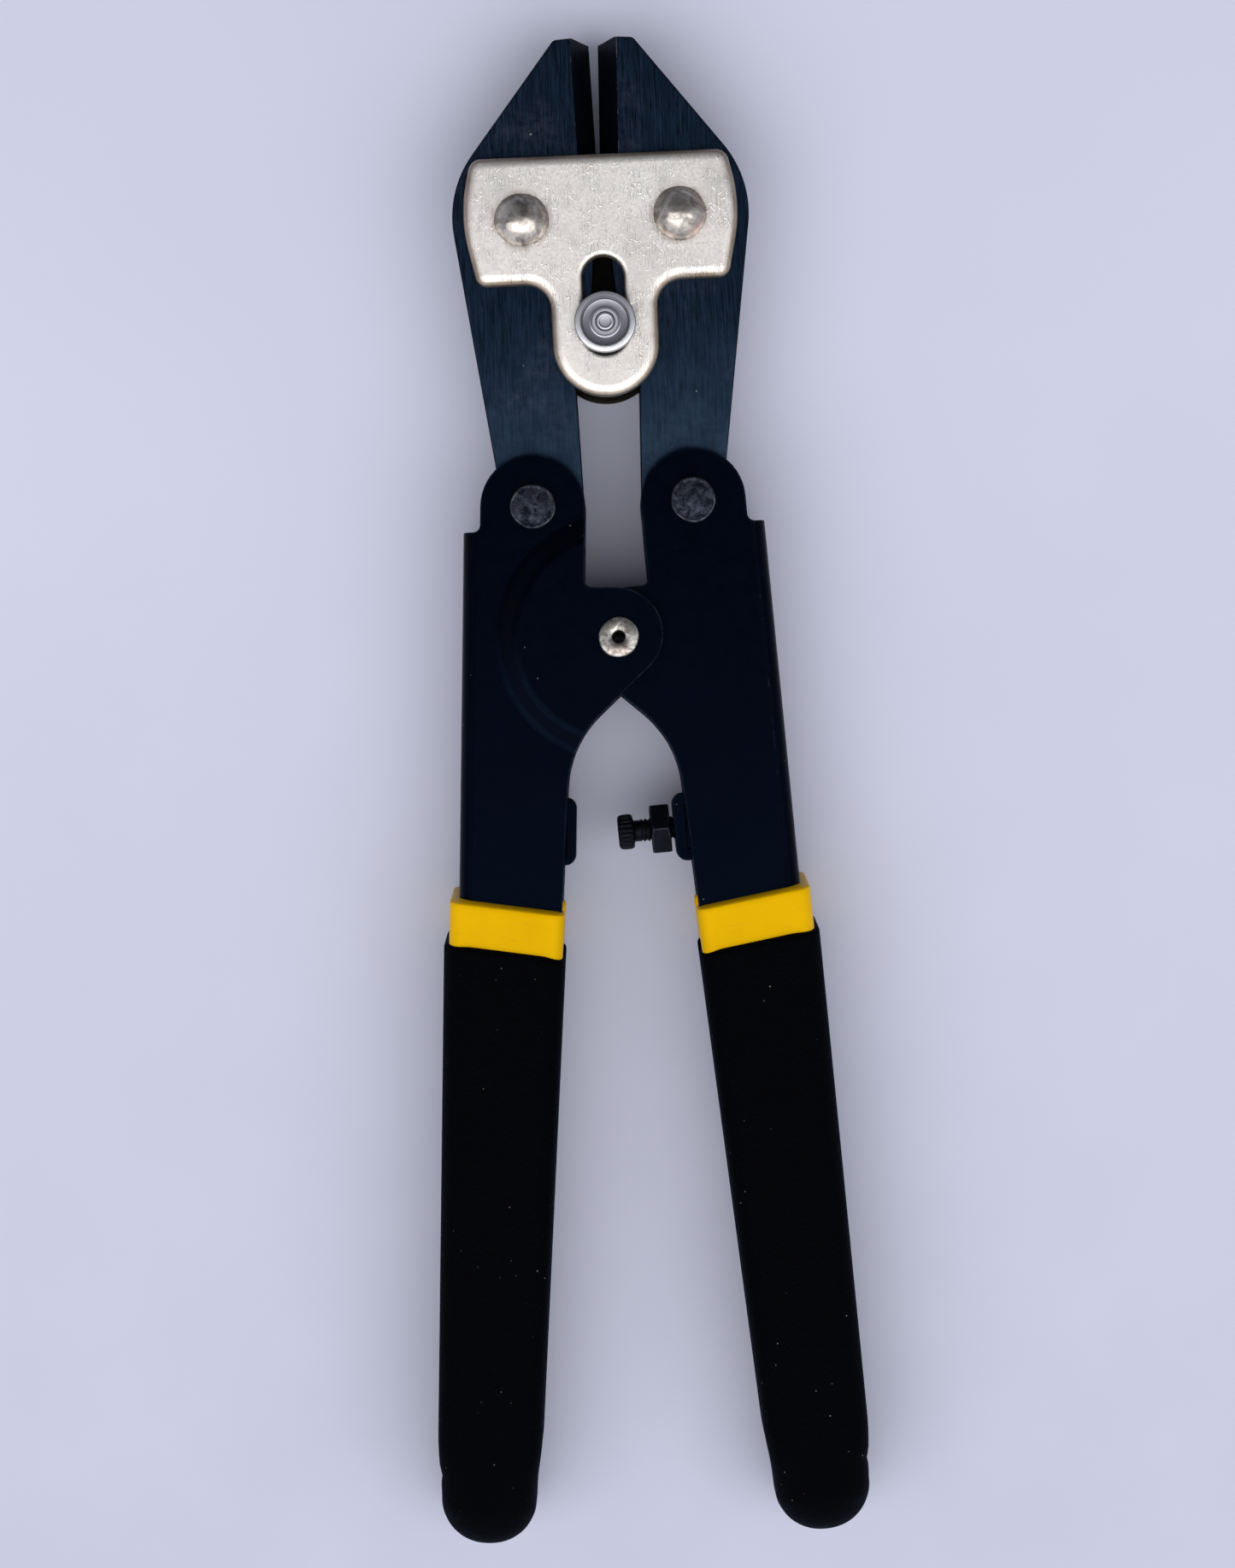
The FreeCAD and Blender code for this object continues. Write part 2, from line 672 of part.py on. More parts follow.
def dip_block(label, low, high, front):
    """A block whose flat ends are slanted dip lines, measured up from the band's upper line.

    front is 1 where +z is the tool's front, and -1 where it is the back.
    """
    block = doc.addObject("Part::Box", label)
    wide = 4 * value("full_half")
    block.Length = wide
    block.Height = wide
    block.setExpression("Width", linked(f"{high} - ({low})"))
    slant = FreeCAD.Rotation(FreeCAD.Vector(0, 0, 1), -value("dip_slant"))
    tilt = FreeCAD.Rotation(FreeCAD.Vector(1, 0, 0), front * value("dip_tilt"))
    turn = tilt * slant
    middle = FreeCAD.Vector(value("middle_x"), -value("band_start"), 0)
    corner = turn.multVec(FreeCAD.Vector(-wide / 2, value(low), -wide / 2))
    block.Placement = FreeCAD.Placement(middle + corner, turn)
    return block


def make_band(label, front):
    """The length of the first coat that shows above the grip."""
    low = "-band_start - 4 * band_long"
    coat = make_coat(
        label + "_coat", "band_back", "band_face", "band_lip",
        [("end_x + band_lip", low), ("spine_x - band_back", low)])
    hollow_coat(coat, label + "_coat", "band_face", "band_round")
    band = doc.addObject("Part::Common", label)
    band.Base = coat
    band.Tool = dip_block(label + "_length", "-band_long", "0", front)
    band.Label = label
    return band


def make_grip(label, front):
    """The thick second coat, with a closed bulb past the channel's end."""
    foot = [("bulb_x + bulb_half", "-grip_end"), ("bulb_x - bulb_half", "-grip_end")]
    coat = make_coat(label + "_coat", "grip_back", "grip_face", "grip_lip", foot)
    round_edges(coat, "bulb_round", upright_at(*foot), label + "_bulb")
    hollow_coat(coat, label + "_coat", "grip_face", "grip_round")
    grip = doc.addObject("Part::Cut", label)
    grip.Base = coat
    grip.Tool = dip_block(label + "_above", "-band_long", "band_start", front)
    grip.Label = label
    return grip


# ---------------------------------------------------------------- turned pieces, screw and nut

CAP_FOOT = "plate_half + turn_gap"


def make_guide_pin(label):
    """A shank between the caps with a thinner stud through each."""
    stud_top = f"{CAP_FOOT} + cap_thick - cap_sunk"
    return make_turned(label, [
        ("0", f"-({stud_top})"),
        ("pin_stud", f"-({stud_top})"),
        ("pin_stud", f"-({CAP_FOOT})"),
        ("pin_half", f"-({CAP_FOOT})"),
        ("pin_half", CAP_FOOT),
        ("pin_stud", CAP_FOOT),
        ("pin_stud", stud_top),
        ("0", stud_top),
    ])


def make_guide_cap(label):
    """A turned cap: a raised rim, a groove and a boss round the pin's stud."""
    top = f"{CAP_FOOT} + cap_thick"
    return make_turned(label, [
        ("pin_stud", CAP_FOOT),
        ("cap_half", CAP_FOOT),
        ("cap_half", f"{top} - cap_soft"),
        ("cap_half - cap_soft", top),
        ("cap_half - cap_rim", top),
        ("cap_half - cap_rim - cap_soft", f"{top} - cap_groove"),
        ("cap_boss + cap_soft", f"{top} - cap_groove"),
        ("cap_boss", f"{top} - cap_sunk"),
        ("pin_stud", f"{top} - cap_sunk"),
    ])


def make_handle_rivet(label):
    """A rivet with a low flat head on each outer wall."""
    top = "wall_half + handle_rivet_rise"
    soft = "handle_rivet_rise / 3"
    return make_turned(label, [
        ("0", f"-({top})"),
        (f"handle_rivet_head - {soft}", f"-({top})"),
        ("handle_rivet_head", f"-({top}) + {soft}"),
        ("handle_rivet_head", "-wall_half"),
        ("handle_rivet_shank", "-wall_half"),
        ("handle_rivet_shank", "wall_half"),
        ("handle_rivet_head", "wall_half"),
        ("handle_rivet_head", f"{top} - {soft}"),
        (f"handle_rivet_head - {soft}", top),
        ("0", top),
    ])


def make_pivot_rivet(label):
    """A tubular rivet; its back head stands just clear of the right handle's wall."""
    foot = "lobe_top + turn_gap"
    soft = "pivot_rise / 2"
    return make_turned(label, [
        ("pivot_bore", f"-({foot} + pivot_rise)"),
        (f"pivot_head - {soft}", f"-({foot} + pivot_rise)"),
        ("pivot_head", f"-({foot} + pivot_rise) + {soft}"),
        ("pivot_head", f"-({foot})"),
        ("pivot_shank", f"-({foot})"),
        ("pivot_shank", "lobe_top"),
        ("pivot_head", "lobe_top"),
        ("pivot_head", f"lobe_top + pivot_rise - {soft}"),
        (f"pivot_head - {soft}", "lobe_top + pivot_rise"),
        ("pivot_bore", "lobe_top + pivot_rise"),
    ])


def make_spacer(label):
    """The tube round the pivot rivet that keeps the channel walls apart."""
    return make_turned(label, [
        ("pivot_shank", "-inner_half"),
        ("spacer_half", "-inner_half"),
        ("spacer_half", "inner_half - turn_gap"),
        ("pivot_shank", "inner_half - turn_gap"),
    ])


def add_hexagon(sketch, across, up, flats):
    """A hexagon with a corner on each side along the sketch's upright."""
    corner = f"{flats} / sqrt(3)"
    add_polygon(sketch, [
        (f"{across} + {corner} * sin({60 * n} * 1deg)", f"{up} + {corner} * cos({60 * n} * 1deg)")
        for n in range(6)
    ])


def make_stop_screw(label):
    """A cap screw along +x, with a hexagon socket in its head."""
    body = new_body(label)
    head = new_sketch(body, label + "_head", "YZ_Plane", "screw_stand")
    add_circle(head, "-stop_drop", "0", "screw_head")
    pad(body, head, "0", "screw_head_long")
    shank = new_sketch(body, label + "_shank", "YZ_Plane", "screw_stand - screw_head_long")
    add_circle(shank, "-stop_drop", "0", "screw_shank")
    pad(body, shank, "0", "screw_long")
    socket = new_sketch(body, label + "_socket", "YZ_Plane", "screw_stand")
    add_hexagon(socket, "-stop_drop", "0", "2 * socket_half")
    pocket(body, socket, "cut_spare", "socket_deep")
    face = value("screw_stand")
    rim = value("screw_head")

    def head_rim(points):
        return all(
            abs(p.x - face) < NEAR and math.hypot(p.y + value("stop_drop"), p.z) > rim - NEAR
            for p in points
        )

    round_edges(body, "jaw_edge_round", head_rim, label + "_soft")
    return body


def make_lock_nut(label):
    """A hexagon nut on the screw, a little clear of the bracket."""
    body = new_body(label)
    blank = new_sketch(body, label + "_blank", "YZ_Plane", "-bracket_inset + nut_gap")
    add_hexagon(blank, "-stop_drop", "0", "nut_flats")
    pad(body, blank, "nut_thick", "0")
    bore = new_sketch(body, label + "_bore", "YZ_Plane", "-bracket_inset + nut_gap")
    add_circle(bore, "-stop_drop", "0", "screw_shank + turn_gap")
    pocket(body, bore, "2 * nut_thick", "cut_spare")
    return body


# ---------------------------------------------------------------- where each piece goes

UPRIGHT = FreeCAD.Vector(0, 0, 1)


def place(across, up, turn=0.0):
    """A place on the middle plane, turned about Z."""
    return FreeCAD.Placement(FreeCAD.Vector(across, up, 0), FreeCAD.Rotation(UPRIGHT, turn))


turned_over = FreeCAD.Placement(
    FreeCAD.Vector(0, 0, 0), FreeCAD.Rotation(FreeCAD.Vector(0, 1, 0), 180))
head_rise = value("head_rise")
half_span = value("half_span")
lean = value("handle_lean")
ear_x = value("ear_x")
ear_y = value("ear_y")

at_head = place(0, head_rise)
at_jaw = place(-half_span, head_rise, value("rest_open"))
at_jaw_rivet = place(-half_span, head_rise)
at_pin = place(0, head_rise - value("pin_drop"))
at_handle = place(0, 0, -lean)
at_ear = at_handle * place(ear_x, ear_y)
at_pivot = place(0, 0)

PIECES = [
    (make_jaw("jaw_left", "turn_gap"), at_jaw),
    (make_jaw("jaw_right", "open_pivot_gap"), turned_over * at_jaw),
    (make_plate("front_plate"), at_head),
    (make_plate("rear_plate"), turned_over * at_head),
    (make_jaw_rivet("jaw_rivet_left"), at_jaw_rivet),
    (make_jaw_rivet("jaw_rivet_right"), turned_over * at_jaw_rivet),
    (make_guide_pin("guide_pin"), at_pin),
    (make_guide_cap("guide_cap_front"), at_pin),
    (make_guide_cap("guide_cap_rear"), turned_over * at_pin),
    (make_handle("handle_left", "pivot_shank"), at_handle),
    (make_handle("handle_right", "pivot_shank + turn_gap"), turned_over * at_handle),
    (make_handle_rivet("handle_rivet_left"), at_ear),
    (make_handle_rivet("handle_rivet_right"), turned_over * at_ear),
    (make_pivot_rivet("pivot_rivet"), at_pivot),
    (make_spacer("pivot_spacer"), at_pivot),
    (make_stop_fold("stop_pad", "pad_inset", None), at_handle),
    (make_stop_fold("stop_bracket", "bracket_inset", "screw_shank + turn_gap"),
     turned_over * at_handle),
    (make_stop_screw("stop_screw"), turned_over * at_handle),
    (make_lock_nut("lock_nut"), turned_over * at_handle),
    (make_band("band_left", 1), at_handle),
    (make_band("band_right", -1), turned_over * at_handle),
    (make_grip("grip_left", 1), at_handle),
    (make_grip("grip_right", -1), turned_over * at_handle),
]

# The finished tool lies on its back with the origin under the middle of its box.
for piece, placement in PIECES:
    piece.Placement = placement
doc.recompute()
whole = FreeCAD.BoundBox()
for piece, placement in PIECES:
    whole.add(piece.Shape.optimalBoundingBox(False))
onto_floor = FreeCAD.Vector(-(whole.XMin + whole.XMax) / 2, -(whole.YMin + whole.YMax) / 2, -whole.ZMin)
lift = FreeCAD.Placement(onto_floor, FreeCAD.Rotation())
for piece, placement in PIECES:
    piece.Placement = lift * placement
doc.recompute()

# ---------------------------------------------------------------- checks and export

for item in doc.Objects:
    if "Invalid" in item.State or "Error" in item.State:
        raise RuntimeError(f"{item.Name} is {item.State}")
for piece, placement in PIECES:
    if piece.Shape.isNull() or not piece.Shape.isValid() or len(piece.Shape.Solids) != 1:
        raise RuntimeError(f"{piece.Label} is not one valid solid")
for piece, placement in PIECES:
    piece.Shape.exportStep(f"parts/{piece.Label}.step")

print("size", whole.XLength, whole.YLength, whole.ZLength, "moved by", onto_floor)
for name, text in (
    ("jaw pivots x", "half_span"), ("jaw pivots y", "head_rise"), ("jaw full open", "jaw_full_open"),
    ("arm angle", "arm_angle"), ("ear x", "ear_x"), ("ear y", "ear_y"),
):
    print(name, round(value(text), 4))
for label, spot in (("jaw rivet", at_jaw_rivet), ("ear", at_ear), ("pin", at_pin), ("pivot", at_pivot)):
    print(label, (lift * spot).Base)
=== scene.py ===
import json
import math

import bmesh
import bpy
import numpy as np
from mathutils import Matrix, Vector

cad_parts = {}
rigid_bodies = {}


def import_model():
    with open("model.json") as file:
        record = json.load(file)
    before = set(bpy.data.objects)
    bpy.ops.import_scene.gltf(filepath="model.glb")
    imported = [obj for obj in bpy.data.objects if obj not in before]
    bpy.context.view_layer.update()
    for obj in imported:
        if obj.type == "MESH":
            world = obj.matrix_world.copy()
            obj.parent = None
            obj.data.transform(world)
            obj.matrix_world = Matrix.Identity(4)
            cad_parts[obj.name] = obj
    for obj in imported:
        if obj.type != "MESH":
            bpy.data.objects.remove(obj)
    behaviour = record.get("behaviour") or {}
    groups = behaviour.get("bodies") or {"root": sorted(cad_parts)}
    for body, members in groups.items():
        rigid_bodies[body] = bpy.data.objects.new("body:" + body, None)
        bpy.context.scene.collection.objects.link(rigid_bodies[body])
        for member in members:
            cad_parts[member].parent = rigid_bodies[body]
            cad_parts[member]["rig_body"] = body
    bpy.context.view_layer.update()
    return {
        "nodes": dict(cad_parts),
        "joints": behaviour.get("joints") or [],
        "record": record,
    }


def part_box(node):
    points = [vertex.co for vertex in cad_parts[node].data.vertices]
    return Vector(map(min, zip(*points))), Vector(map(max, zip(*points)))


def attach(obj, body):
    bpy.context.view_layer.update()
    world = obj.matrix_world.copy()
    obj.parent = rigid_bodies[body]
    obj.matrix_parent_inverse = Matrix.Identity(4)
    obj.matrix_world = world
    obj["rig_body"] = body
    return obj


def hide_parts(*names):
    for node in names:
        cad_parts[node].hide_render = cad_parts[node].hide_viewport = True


# Small bolt cutters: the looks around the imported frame. Lengths are metres, in the frame's axes.

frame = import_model()
MM = 0.001

# ---------------------------------------------------------------- places read from the frame

JOINTS = {joint["name"]: joint for joint in frame["joints"]}
PIVOT = np.array(JOINTS["handle_hinge"]["pos_m"])
JAW_RIVET = np.array(JOINTS["plate_hinge"]["pos_m"])
EAR_RIVET = np.array(JOINTS["left_jaw_hinge"]["pos_m"])
SCREW_AXIS = np.array(JOINTS["screw_adjust"]["axis"])
LEAN = math.atan2(-SCREW_AXIS[1], -SCREW_AXIS[0])
GUIDE = np.mean(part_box("guide_pin"), axis=0)


def handle_to_frame(points, side):
    """Points in a handle's own axes (mouth along +x, grip along -y) put into the frame.

    The left handle is turned by its lean; the right one is the same, turned over about Y.
    """
    x, y, z = np.moveaxis(np.asarray(points, float), -1, 0)
    across = x * math.cos(LEAN) + y * math.sin(LEAN)
    along = -x * math.sin(LEAN) + y * math.cos(LEAN)
    return np.stack([side * across, along, side * z], axis=-1) + PIVOT * [0, 1, 1]


def frame_to_handle(points, side):
    """The way back from the frame to a handle's own axes."""
    local = (np.asarray(points, float) - PIVOT * [0, 1, 1]) * [side, 1, side]
    x, y, z = np.moveaxis(local, -1, 0)
    across = x * math.cos(LEAN) - y * math.sin(LEAN)
    along = x * math.sin(LEAN) + y * math.cos(LEAN)
    return np.stack([across, along, z], axis=-1)


def mesh_points(node):
    """A frame node's corner points as an array."""
    mesh = frame["nodes"][node].data
    points = np.empty(len(mesh.vertices) * 3)
    mesh.vertices.foreach_get("co", points)
    return points.reshape(-1, 3)


def handle_box(node, side):
    """A node's lowest and highest corners in its handle's own axes."""
    points = frame_to_handle(mesh_points(node), side)
    return points.min(0), points.max(0)


LEFT, RIGHT = 1, -1
SIDES = (("left", LEFT), ("right", RIGHT))
# The channel of the steel handle, in its own axes: its spine's back, its lower end, half its
# width over the walls and half of its inside.
SPINE, CHANNEL_END, WALL_LOW = handle_box("handle_left", LEFT)[0]
WALL_HALF = -WALL_LOW
SHEET = 1.6 * MM
INNER_HALF = WALL_HALF - SHEET
# The walls' inner edge: where it leaves the arch below the lobes, and its slope from there.
ARCH_EDGE = np.array([-6.6, -14.9]) * MM
EDGE_TAPER = math.tan(math.radians(2.0))


def steel_edge(along):
    """How far out the channel walls' inner edge lies at a height on the handle."""
    return ARCH_EDGE[0] + (along - ARCH_EDGE[1]) * EDGE_TAPER


PLATE_HEIGHTS = mesh_points("front_plate")[:, 2] - PIVOT[2]
PLATE_BACK, PLATE_FACE = PLATE_HEIGHTS.min(), PLATE_HEIGHTS.max()
DOME_REACH = 3.7 * MM

# ---------------------------------------------------------------- stage, camera and light

VIEW_WIDTH = 173.4 * MM
VIEW_HEIGHT_ABOVE = 490 * MM
TOOL_TURN = math.radians(2.48)
VIEW_CENTRE = (-1.06 * MM, 0.67 * MM)
SENSOR = 36.0


def add_camera():
    """Looks straight down at the tool, turned so that the head leans a little to the left."""
    data = bpy.data.cameras.new("camera")
    data.sensor_fit = "HORIZONTAL"
    data.sensor_width = SENSOR
    data.lens = SENSOR * VIEW_HEIGHT_ABOVE / VIEW_WIDTH
    data.clip_start = 0.01
    camera = bpy.data.objects.new("camera", data)
    camera.location = (*VIEW_CENTRE, PIVOT[2] + VIEW_HEIGHT_ABOVE)
    camera.rotation_euler = (0, 0, -TOOL_TURN)
    bpy.context.scene.collection.objects.link(camera)
    bpy.context.scene.camera = camera


def add_softbox(name, place, size, power, tint):
    """A rectangular lamp at a place, facing the tool."""
    data = bpy.data.lights.new(name, "AREA")
    data.shape = "RECTANGLE"
    data.size, data.size_y = size
    data.energy = power
    data.color = tint
    lamp = bpy.data.objects.new(name, data)
    lamp.location = place
    aim = np.array([0, 0.02, 0]) - np.array(place)
    flat = math.hypot(aim[0], aim[1])
    lamp.rotation_euler = (math.atan2(flat, -aim[2]), 0, math.atan2(-aim[0], aim[1]) if flat else 0)
    bpy.context.scene.collection.objects.link(lamp)


def set_range(node, low, high, out_low, out_high):
    """Sets a Map Range node: the values that it maps from, and those that it maps to."""
    for socket, number in (("From Min", low), ("From Max", high), ("To Min", out_low), ("To Max", out_high)):
        node.inputs[socket].default_value = number


def add_world():
    """A pale surround, brighter near the horizon and on the grips' side."""
    world = bpy.data.worlds.new("surround")
    bpy.context.scene.world = world
    world.use_nodes = True
    nodes, links = world.node_tree.nodes, world.node_tree.links
    place = nodes.new("ShaderNodeTexCoord").outputs["Generated"]
    split = nodes.new("ShaderNodeSeparateXYZ")
    fall = nodes.new("ShaderNodeMapRange")
    side = nodes.new("ShaderNodeMapRange")
    set_range(fall, 0.2, 0.95, 1.02, 0.32)
    set_range(side, -1, 1, 1.35, 0.22)
    both = nodes.new("ShaderNodeMath")
    both.operation = "MULTIPLY"
    links.new(place, split.inputs["Vector"])
    links.new(split.outputs["Z"], fall.inputs["Value"])
    links.new(split.outputs["Y"], side.inputs["Value"])
    links.new(fall.outputs["Result"], both.inputs[0])
    links.new(side.outputs["Result"], both.inputs[1])
    back = nodes["Background"]
    back.inputs["Color"].default_value = (0.88, 0.91, 1.0, 1)
    links.new(both.outputs["Value"], back.inputs["Strength"])


def add_floor(material):
    """A wide flat sheet under the tool, just below its lowest face."""
    half, level = 1.5, -0.02 * MM
    mesh = bpy.data.meshes.new("floor")
    corners = [(-half, -half, level), (half, -half, level), (half, half, level), (-half, half, level)]
    mesh.from_pydata(corners, [], [(0, 1, 2, 3)])
    mesh.materials.append(material)
    floor = bpy.data.objects.new("floor", mesh)
    bpy.context.scene.collection.objects.link(floor)


# ---------------------------------------------------------------- material helpers


class Finish:
    """A material with the few node steps that the finishes below are made of."""

    def __init__(self, name, **sockets):
        self.material = bpy.data.materials.new(name)
        self.material.use_nodes = True
        self.nodes = self.material.node_tree.nodes
        self.shader = self.nodes["Principled BSDF"]
        self.place = self.nodes.new("ShaderNodeTexCoord").outputs["Object"]
        for socket, number in sockets.items():
            self.shader.inputs[socket.replace("_", " ")].default_value = number

    def link(self, out, into):
        self.material.node_tree.links.new(out, into)

    def feed(self, socket, out):
        """Drives one of the shader's sockets."""
        self.link(out, self.shader.inputs[socket])

    def stretched(self, across, along, deep, turn=0.0):
        """Object coordinates scaled by a number on each axis, turned about Z first."""
        node = self.nodes.new("ShaderNodeMapping")
        node.vector_type = "POINT"
        node.inputs["Scale"].default_value = (across, along, deep)
        node.inputs["Rotation"].default_value = (0, 0, turn)
        self.link(self.place, node.inputs["Vector"])
        return node.outputs["Vector"]

    def noise(self, scale, detail=3.0, rough=0.55, where=None, distort=0.0):
        """Cloudy noise from 0 to 1."""
        node = self.nodes.new("ShaderNodeTexNoise")
        node.inputs["Scale"].default_value = scale
        node.inputs["Detail"].default_value = detail
        node.inputs["Roughness"].default_value = rough
        node.inputs["Distortion"].default_value = distort
        self.link(where or self.place, node.inputs["Vector"])
        return node.outputs["Fac"]

    def cells(self, scale, where=None, feature="F1"):
        """Distance to the nearest of scattered points, or to the edge between two."""
        node = self.nodes.new("ShaderNodeTexVoronoi")
        node.feature = feature
        node.inputs["Scale"].default_value = scale
        self.link(where or self.place, node.inputs["Vector"])
        return node.outputs["Distance"]

    def span(self, value, low, high, out_low=0.0, out_high=1.0):
        """Maps a range of values to another, held at its ends."""
        node = self.nodes.new("ShaderNodeMapRange")
        set_range(node, low, high, out_low, out_high)
        self.link(value, node.inputs["Value"])
        return node.outputs["Result"]

    def math(self, kind, first, second):
        """One arithmetic step; either side may be a number."""
        node = self.nodes.new("ShaderNodeMath")
        node.operation = kind
        for socket, value in zip(node.inputs, (first, second)):
            if isinstance(value, (int, float)):
                socket.default_value = value
            else:
                self.link(value, socket)
        return node.outputs["Value"]

    def reach(self, centre_x, centre_y, mirrored=False):
        """Distance in plan from an upright line, or from it and its mirror image in X."""
        x = self.math("ABSOLUTE", self.axis("X"), 0.0) if mirrored else self.axis("X")
        x = self.math("SUBTRACT", x, centre_x)
        y = self.math("SUBTRACT", self.axis("Y"), centre_y)
        return self.math("SQRT", self.math("ADD", self.both(x, x), self.both(y, y)), 0.0)

    def depth(self):
        """Distance from the tool's middle plane."""
        return self.math("ABSOLUTE", self.math("SUBTRACT", self.axis("Z"), PIVOT[2]), 0.0)

    def axis(self, letter, vector=None):
        """One coordinate of a vector, or of the point being shaded."""
        split = self.nodes.new("ShaderNodeSeparateXYZ")
        self.link(vector or self.place, split.inputs["Vector"])
        return split.outputs[letter]

    def tilted(self, low, high):
        """1 on faces that lean away from flat, 0 on level ones."""
        geometry = self.nodes.new("ShaderNodeNewGeometry")
        level = self.math("ABSOLUTE", self.axis("Z", geometry.outputs["Normal"]), 0.0)
        return self.span(level, low, high, 1.0, 0.0)

    def both(self, first, second):
        """The product of two steps, or of a step and a number."""
        return self.math("MULTIPLY", first, second)

    def specks(self, scale, size, scatter, some):
        """Small round specks: 1 near scattered points, where a slow noise lets some of them be."""
        speck = self.span(self.cells(scale), *size, 1, 0)
        return self.both(speck, self.span(scatter, *some))

    def blend(self, share, first, second):
        """Mixes two colours; a colour may be three numbers or another step."""
        node = self.nodes.new("ShaderNodeMix")
        node.data_type = "RGBA"
        self.link(share, node.inputs[0])
        for socket, value in ((node.inputs[6], first), (node.inputs[7], second)):
            if isinstance(value, tuple):
                socket.default_value = (*value, 1)
            else:
                self.link(value, socket)
        return node.outputs[2]

    def layer(self, tone, colour, where, most=1.0):
        """Lays a colour over a tone where a step is 1, at most as strongly as most says."""
        return self.blend(where if most == 1.0 else self.both(where, most), tone, colour)

    def bump(self, height, distance, strength=1.0, over=None):
        """Surface relief, laid over earlier relief."""
        node = self.nodes.new("ShaderNodeBump")
        node.inputs["Distance"].default_value = distance
        node.inputs["Strength"].default_value = strength
        self.link(height, node.inputs["Height"])
        if over is not None:
            self.link(over, node.inputs["Normal"])
        return node.outputs["Normal"]

    def edges(self, radius, low, high):
        """1 along sharp edges and 0 on flat faces, by how far a softened normal turns away."""
        soft = self.nodes.new("ShaderNodeBevel")
        soft.samples = 6
        soft.inputs["Radius"].default_value = radius
        plain = self.nodes.new("ShaderNodeNewGeometry").outputs["Normal"]
        node = self.nodes.new("ShaderNodeVectorMath")
        node.operation = "DOT_PRODUCT"
        self.link(soft.outputs["Normal"], node.inputs[0])
        self.link(plain, node.inputs[1])
        away = self.math("SUBTRACT", 1.0, node.outputs["Value"])
        return self.span(away, low, high)


# ---------------------------------------------------------------- finishes


def oxide_steel():
    """Blackened forged steel: blue-black, fine grain along the tool, scuffs and bare edge nicks.

    The arms are painted paler than the blades, and more so on the right, as a painted reflection of the light
    that they catch.
    """
    f = Finish("black_oxide_steel", Metallic=0.9)
    grain = f.noise(1.0, 4, 0.7, f.stretched(5200, 210, 2200))
    streak = f.noise(1.0, 3, 0.6, f.stretched(1500, 60, 900))
    hairline = f.noise(1.0, 3, 0.7, f.stretched(4200, 330, 2000))
    tone = f.blend(f.span(grain, 0.42, 0.6), (0.0012, 0.0055, 0.016), (0.0095, 0.023, 0.047))
    tone = f.layer(tone, (0.004, 0.012, 0.028), f.span(streak, 0.45, 0.62), 0.75)
    tone = f.layer(tone, (0.0005, 0.0015, 0.005), f.span(hairline, 0.6, 0.68))
    scuff = f.both(f.span(f.noise(70, 4, 0.6), 0.5, 0.66), f.span(f.noise(700, 5, 0.75), 0.42, 0.66))
    tone = f.layer(tone, (0.075, 0.085, 0.125), scuff, 0.34)
    # Painted reflection: the lower arms, the right side most, are painted paler, broken into patches.
    painted_reflection = f.both(f.span(f.axis("Y"), 66 * MM, 40 * MM),
                     f.span(f.axis("X"), -20 * MM, 20 * MM, 0.7, 1.0))
    painted_reflection = f.both(painted_reflection, f.span(f.noise(240, 5, 0.72), 0.40, 0.66, 0.45, 1.0))
    tone = f.layer(tone, (0.030, 0.058, 0.100), painted_reflection)
    chip = f.specks(330, (0.045, 0.07), f.noise(140, 2, 0.5), (0.5, 0.56))
    tone = f.layer(tone, (0.35, 0.38, 0.42), chip, 0.6)
    # Painted shade: faces that lean away from flat, such as the blade bevels, are painted nearly black.
    tone = f.layer(tone, (0.0008, 0.002, 0.007), f.tilted(0.8, 0.97), 0.85)
    nick = f.both(f.edges(0.22 * MM, 0.03, 0.2), f.span(f.noise(520, 3, 0.6), 0.5, 0.62))
    tone = f.layer(tone, (0.42, 0.43, 0.46), nick, 0.8)
    f.feed("Base Color", tone)
    f.feed("Roughness", f.span(grain, 0.3, 0.7, 0.36, 0.56))
    relief = f.bump(grain, 0.03 * MM, 0.7)
    f.feed("Normal", f.bump(f.noise(1400, 4, 0.6), 0.01 * MM, 0.4, relief))
    return f.material


def scratched(f, turn):
    """Short straight scratches, all at one angle, in patches."""
    lines = f.cells(1.0, f.stretched(2600, 420, 900, turn), "DISTANCE_TO_EDGE")
    patch = f.noise(330, 2, 0.5, f.stretched(1, 1, 1, turn))
    return f.both(f.span(lines, 0.0, 0.035, 1, 0), f.span(patch, 0.52, 0.6))


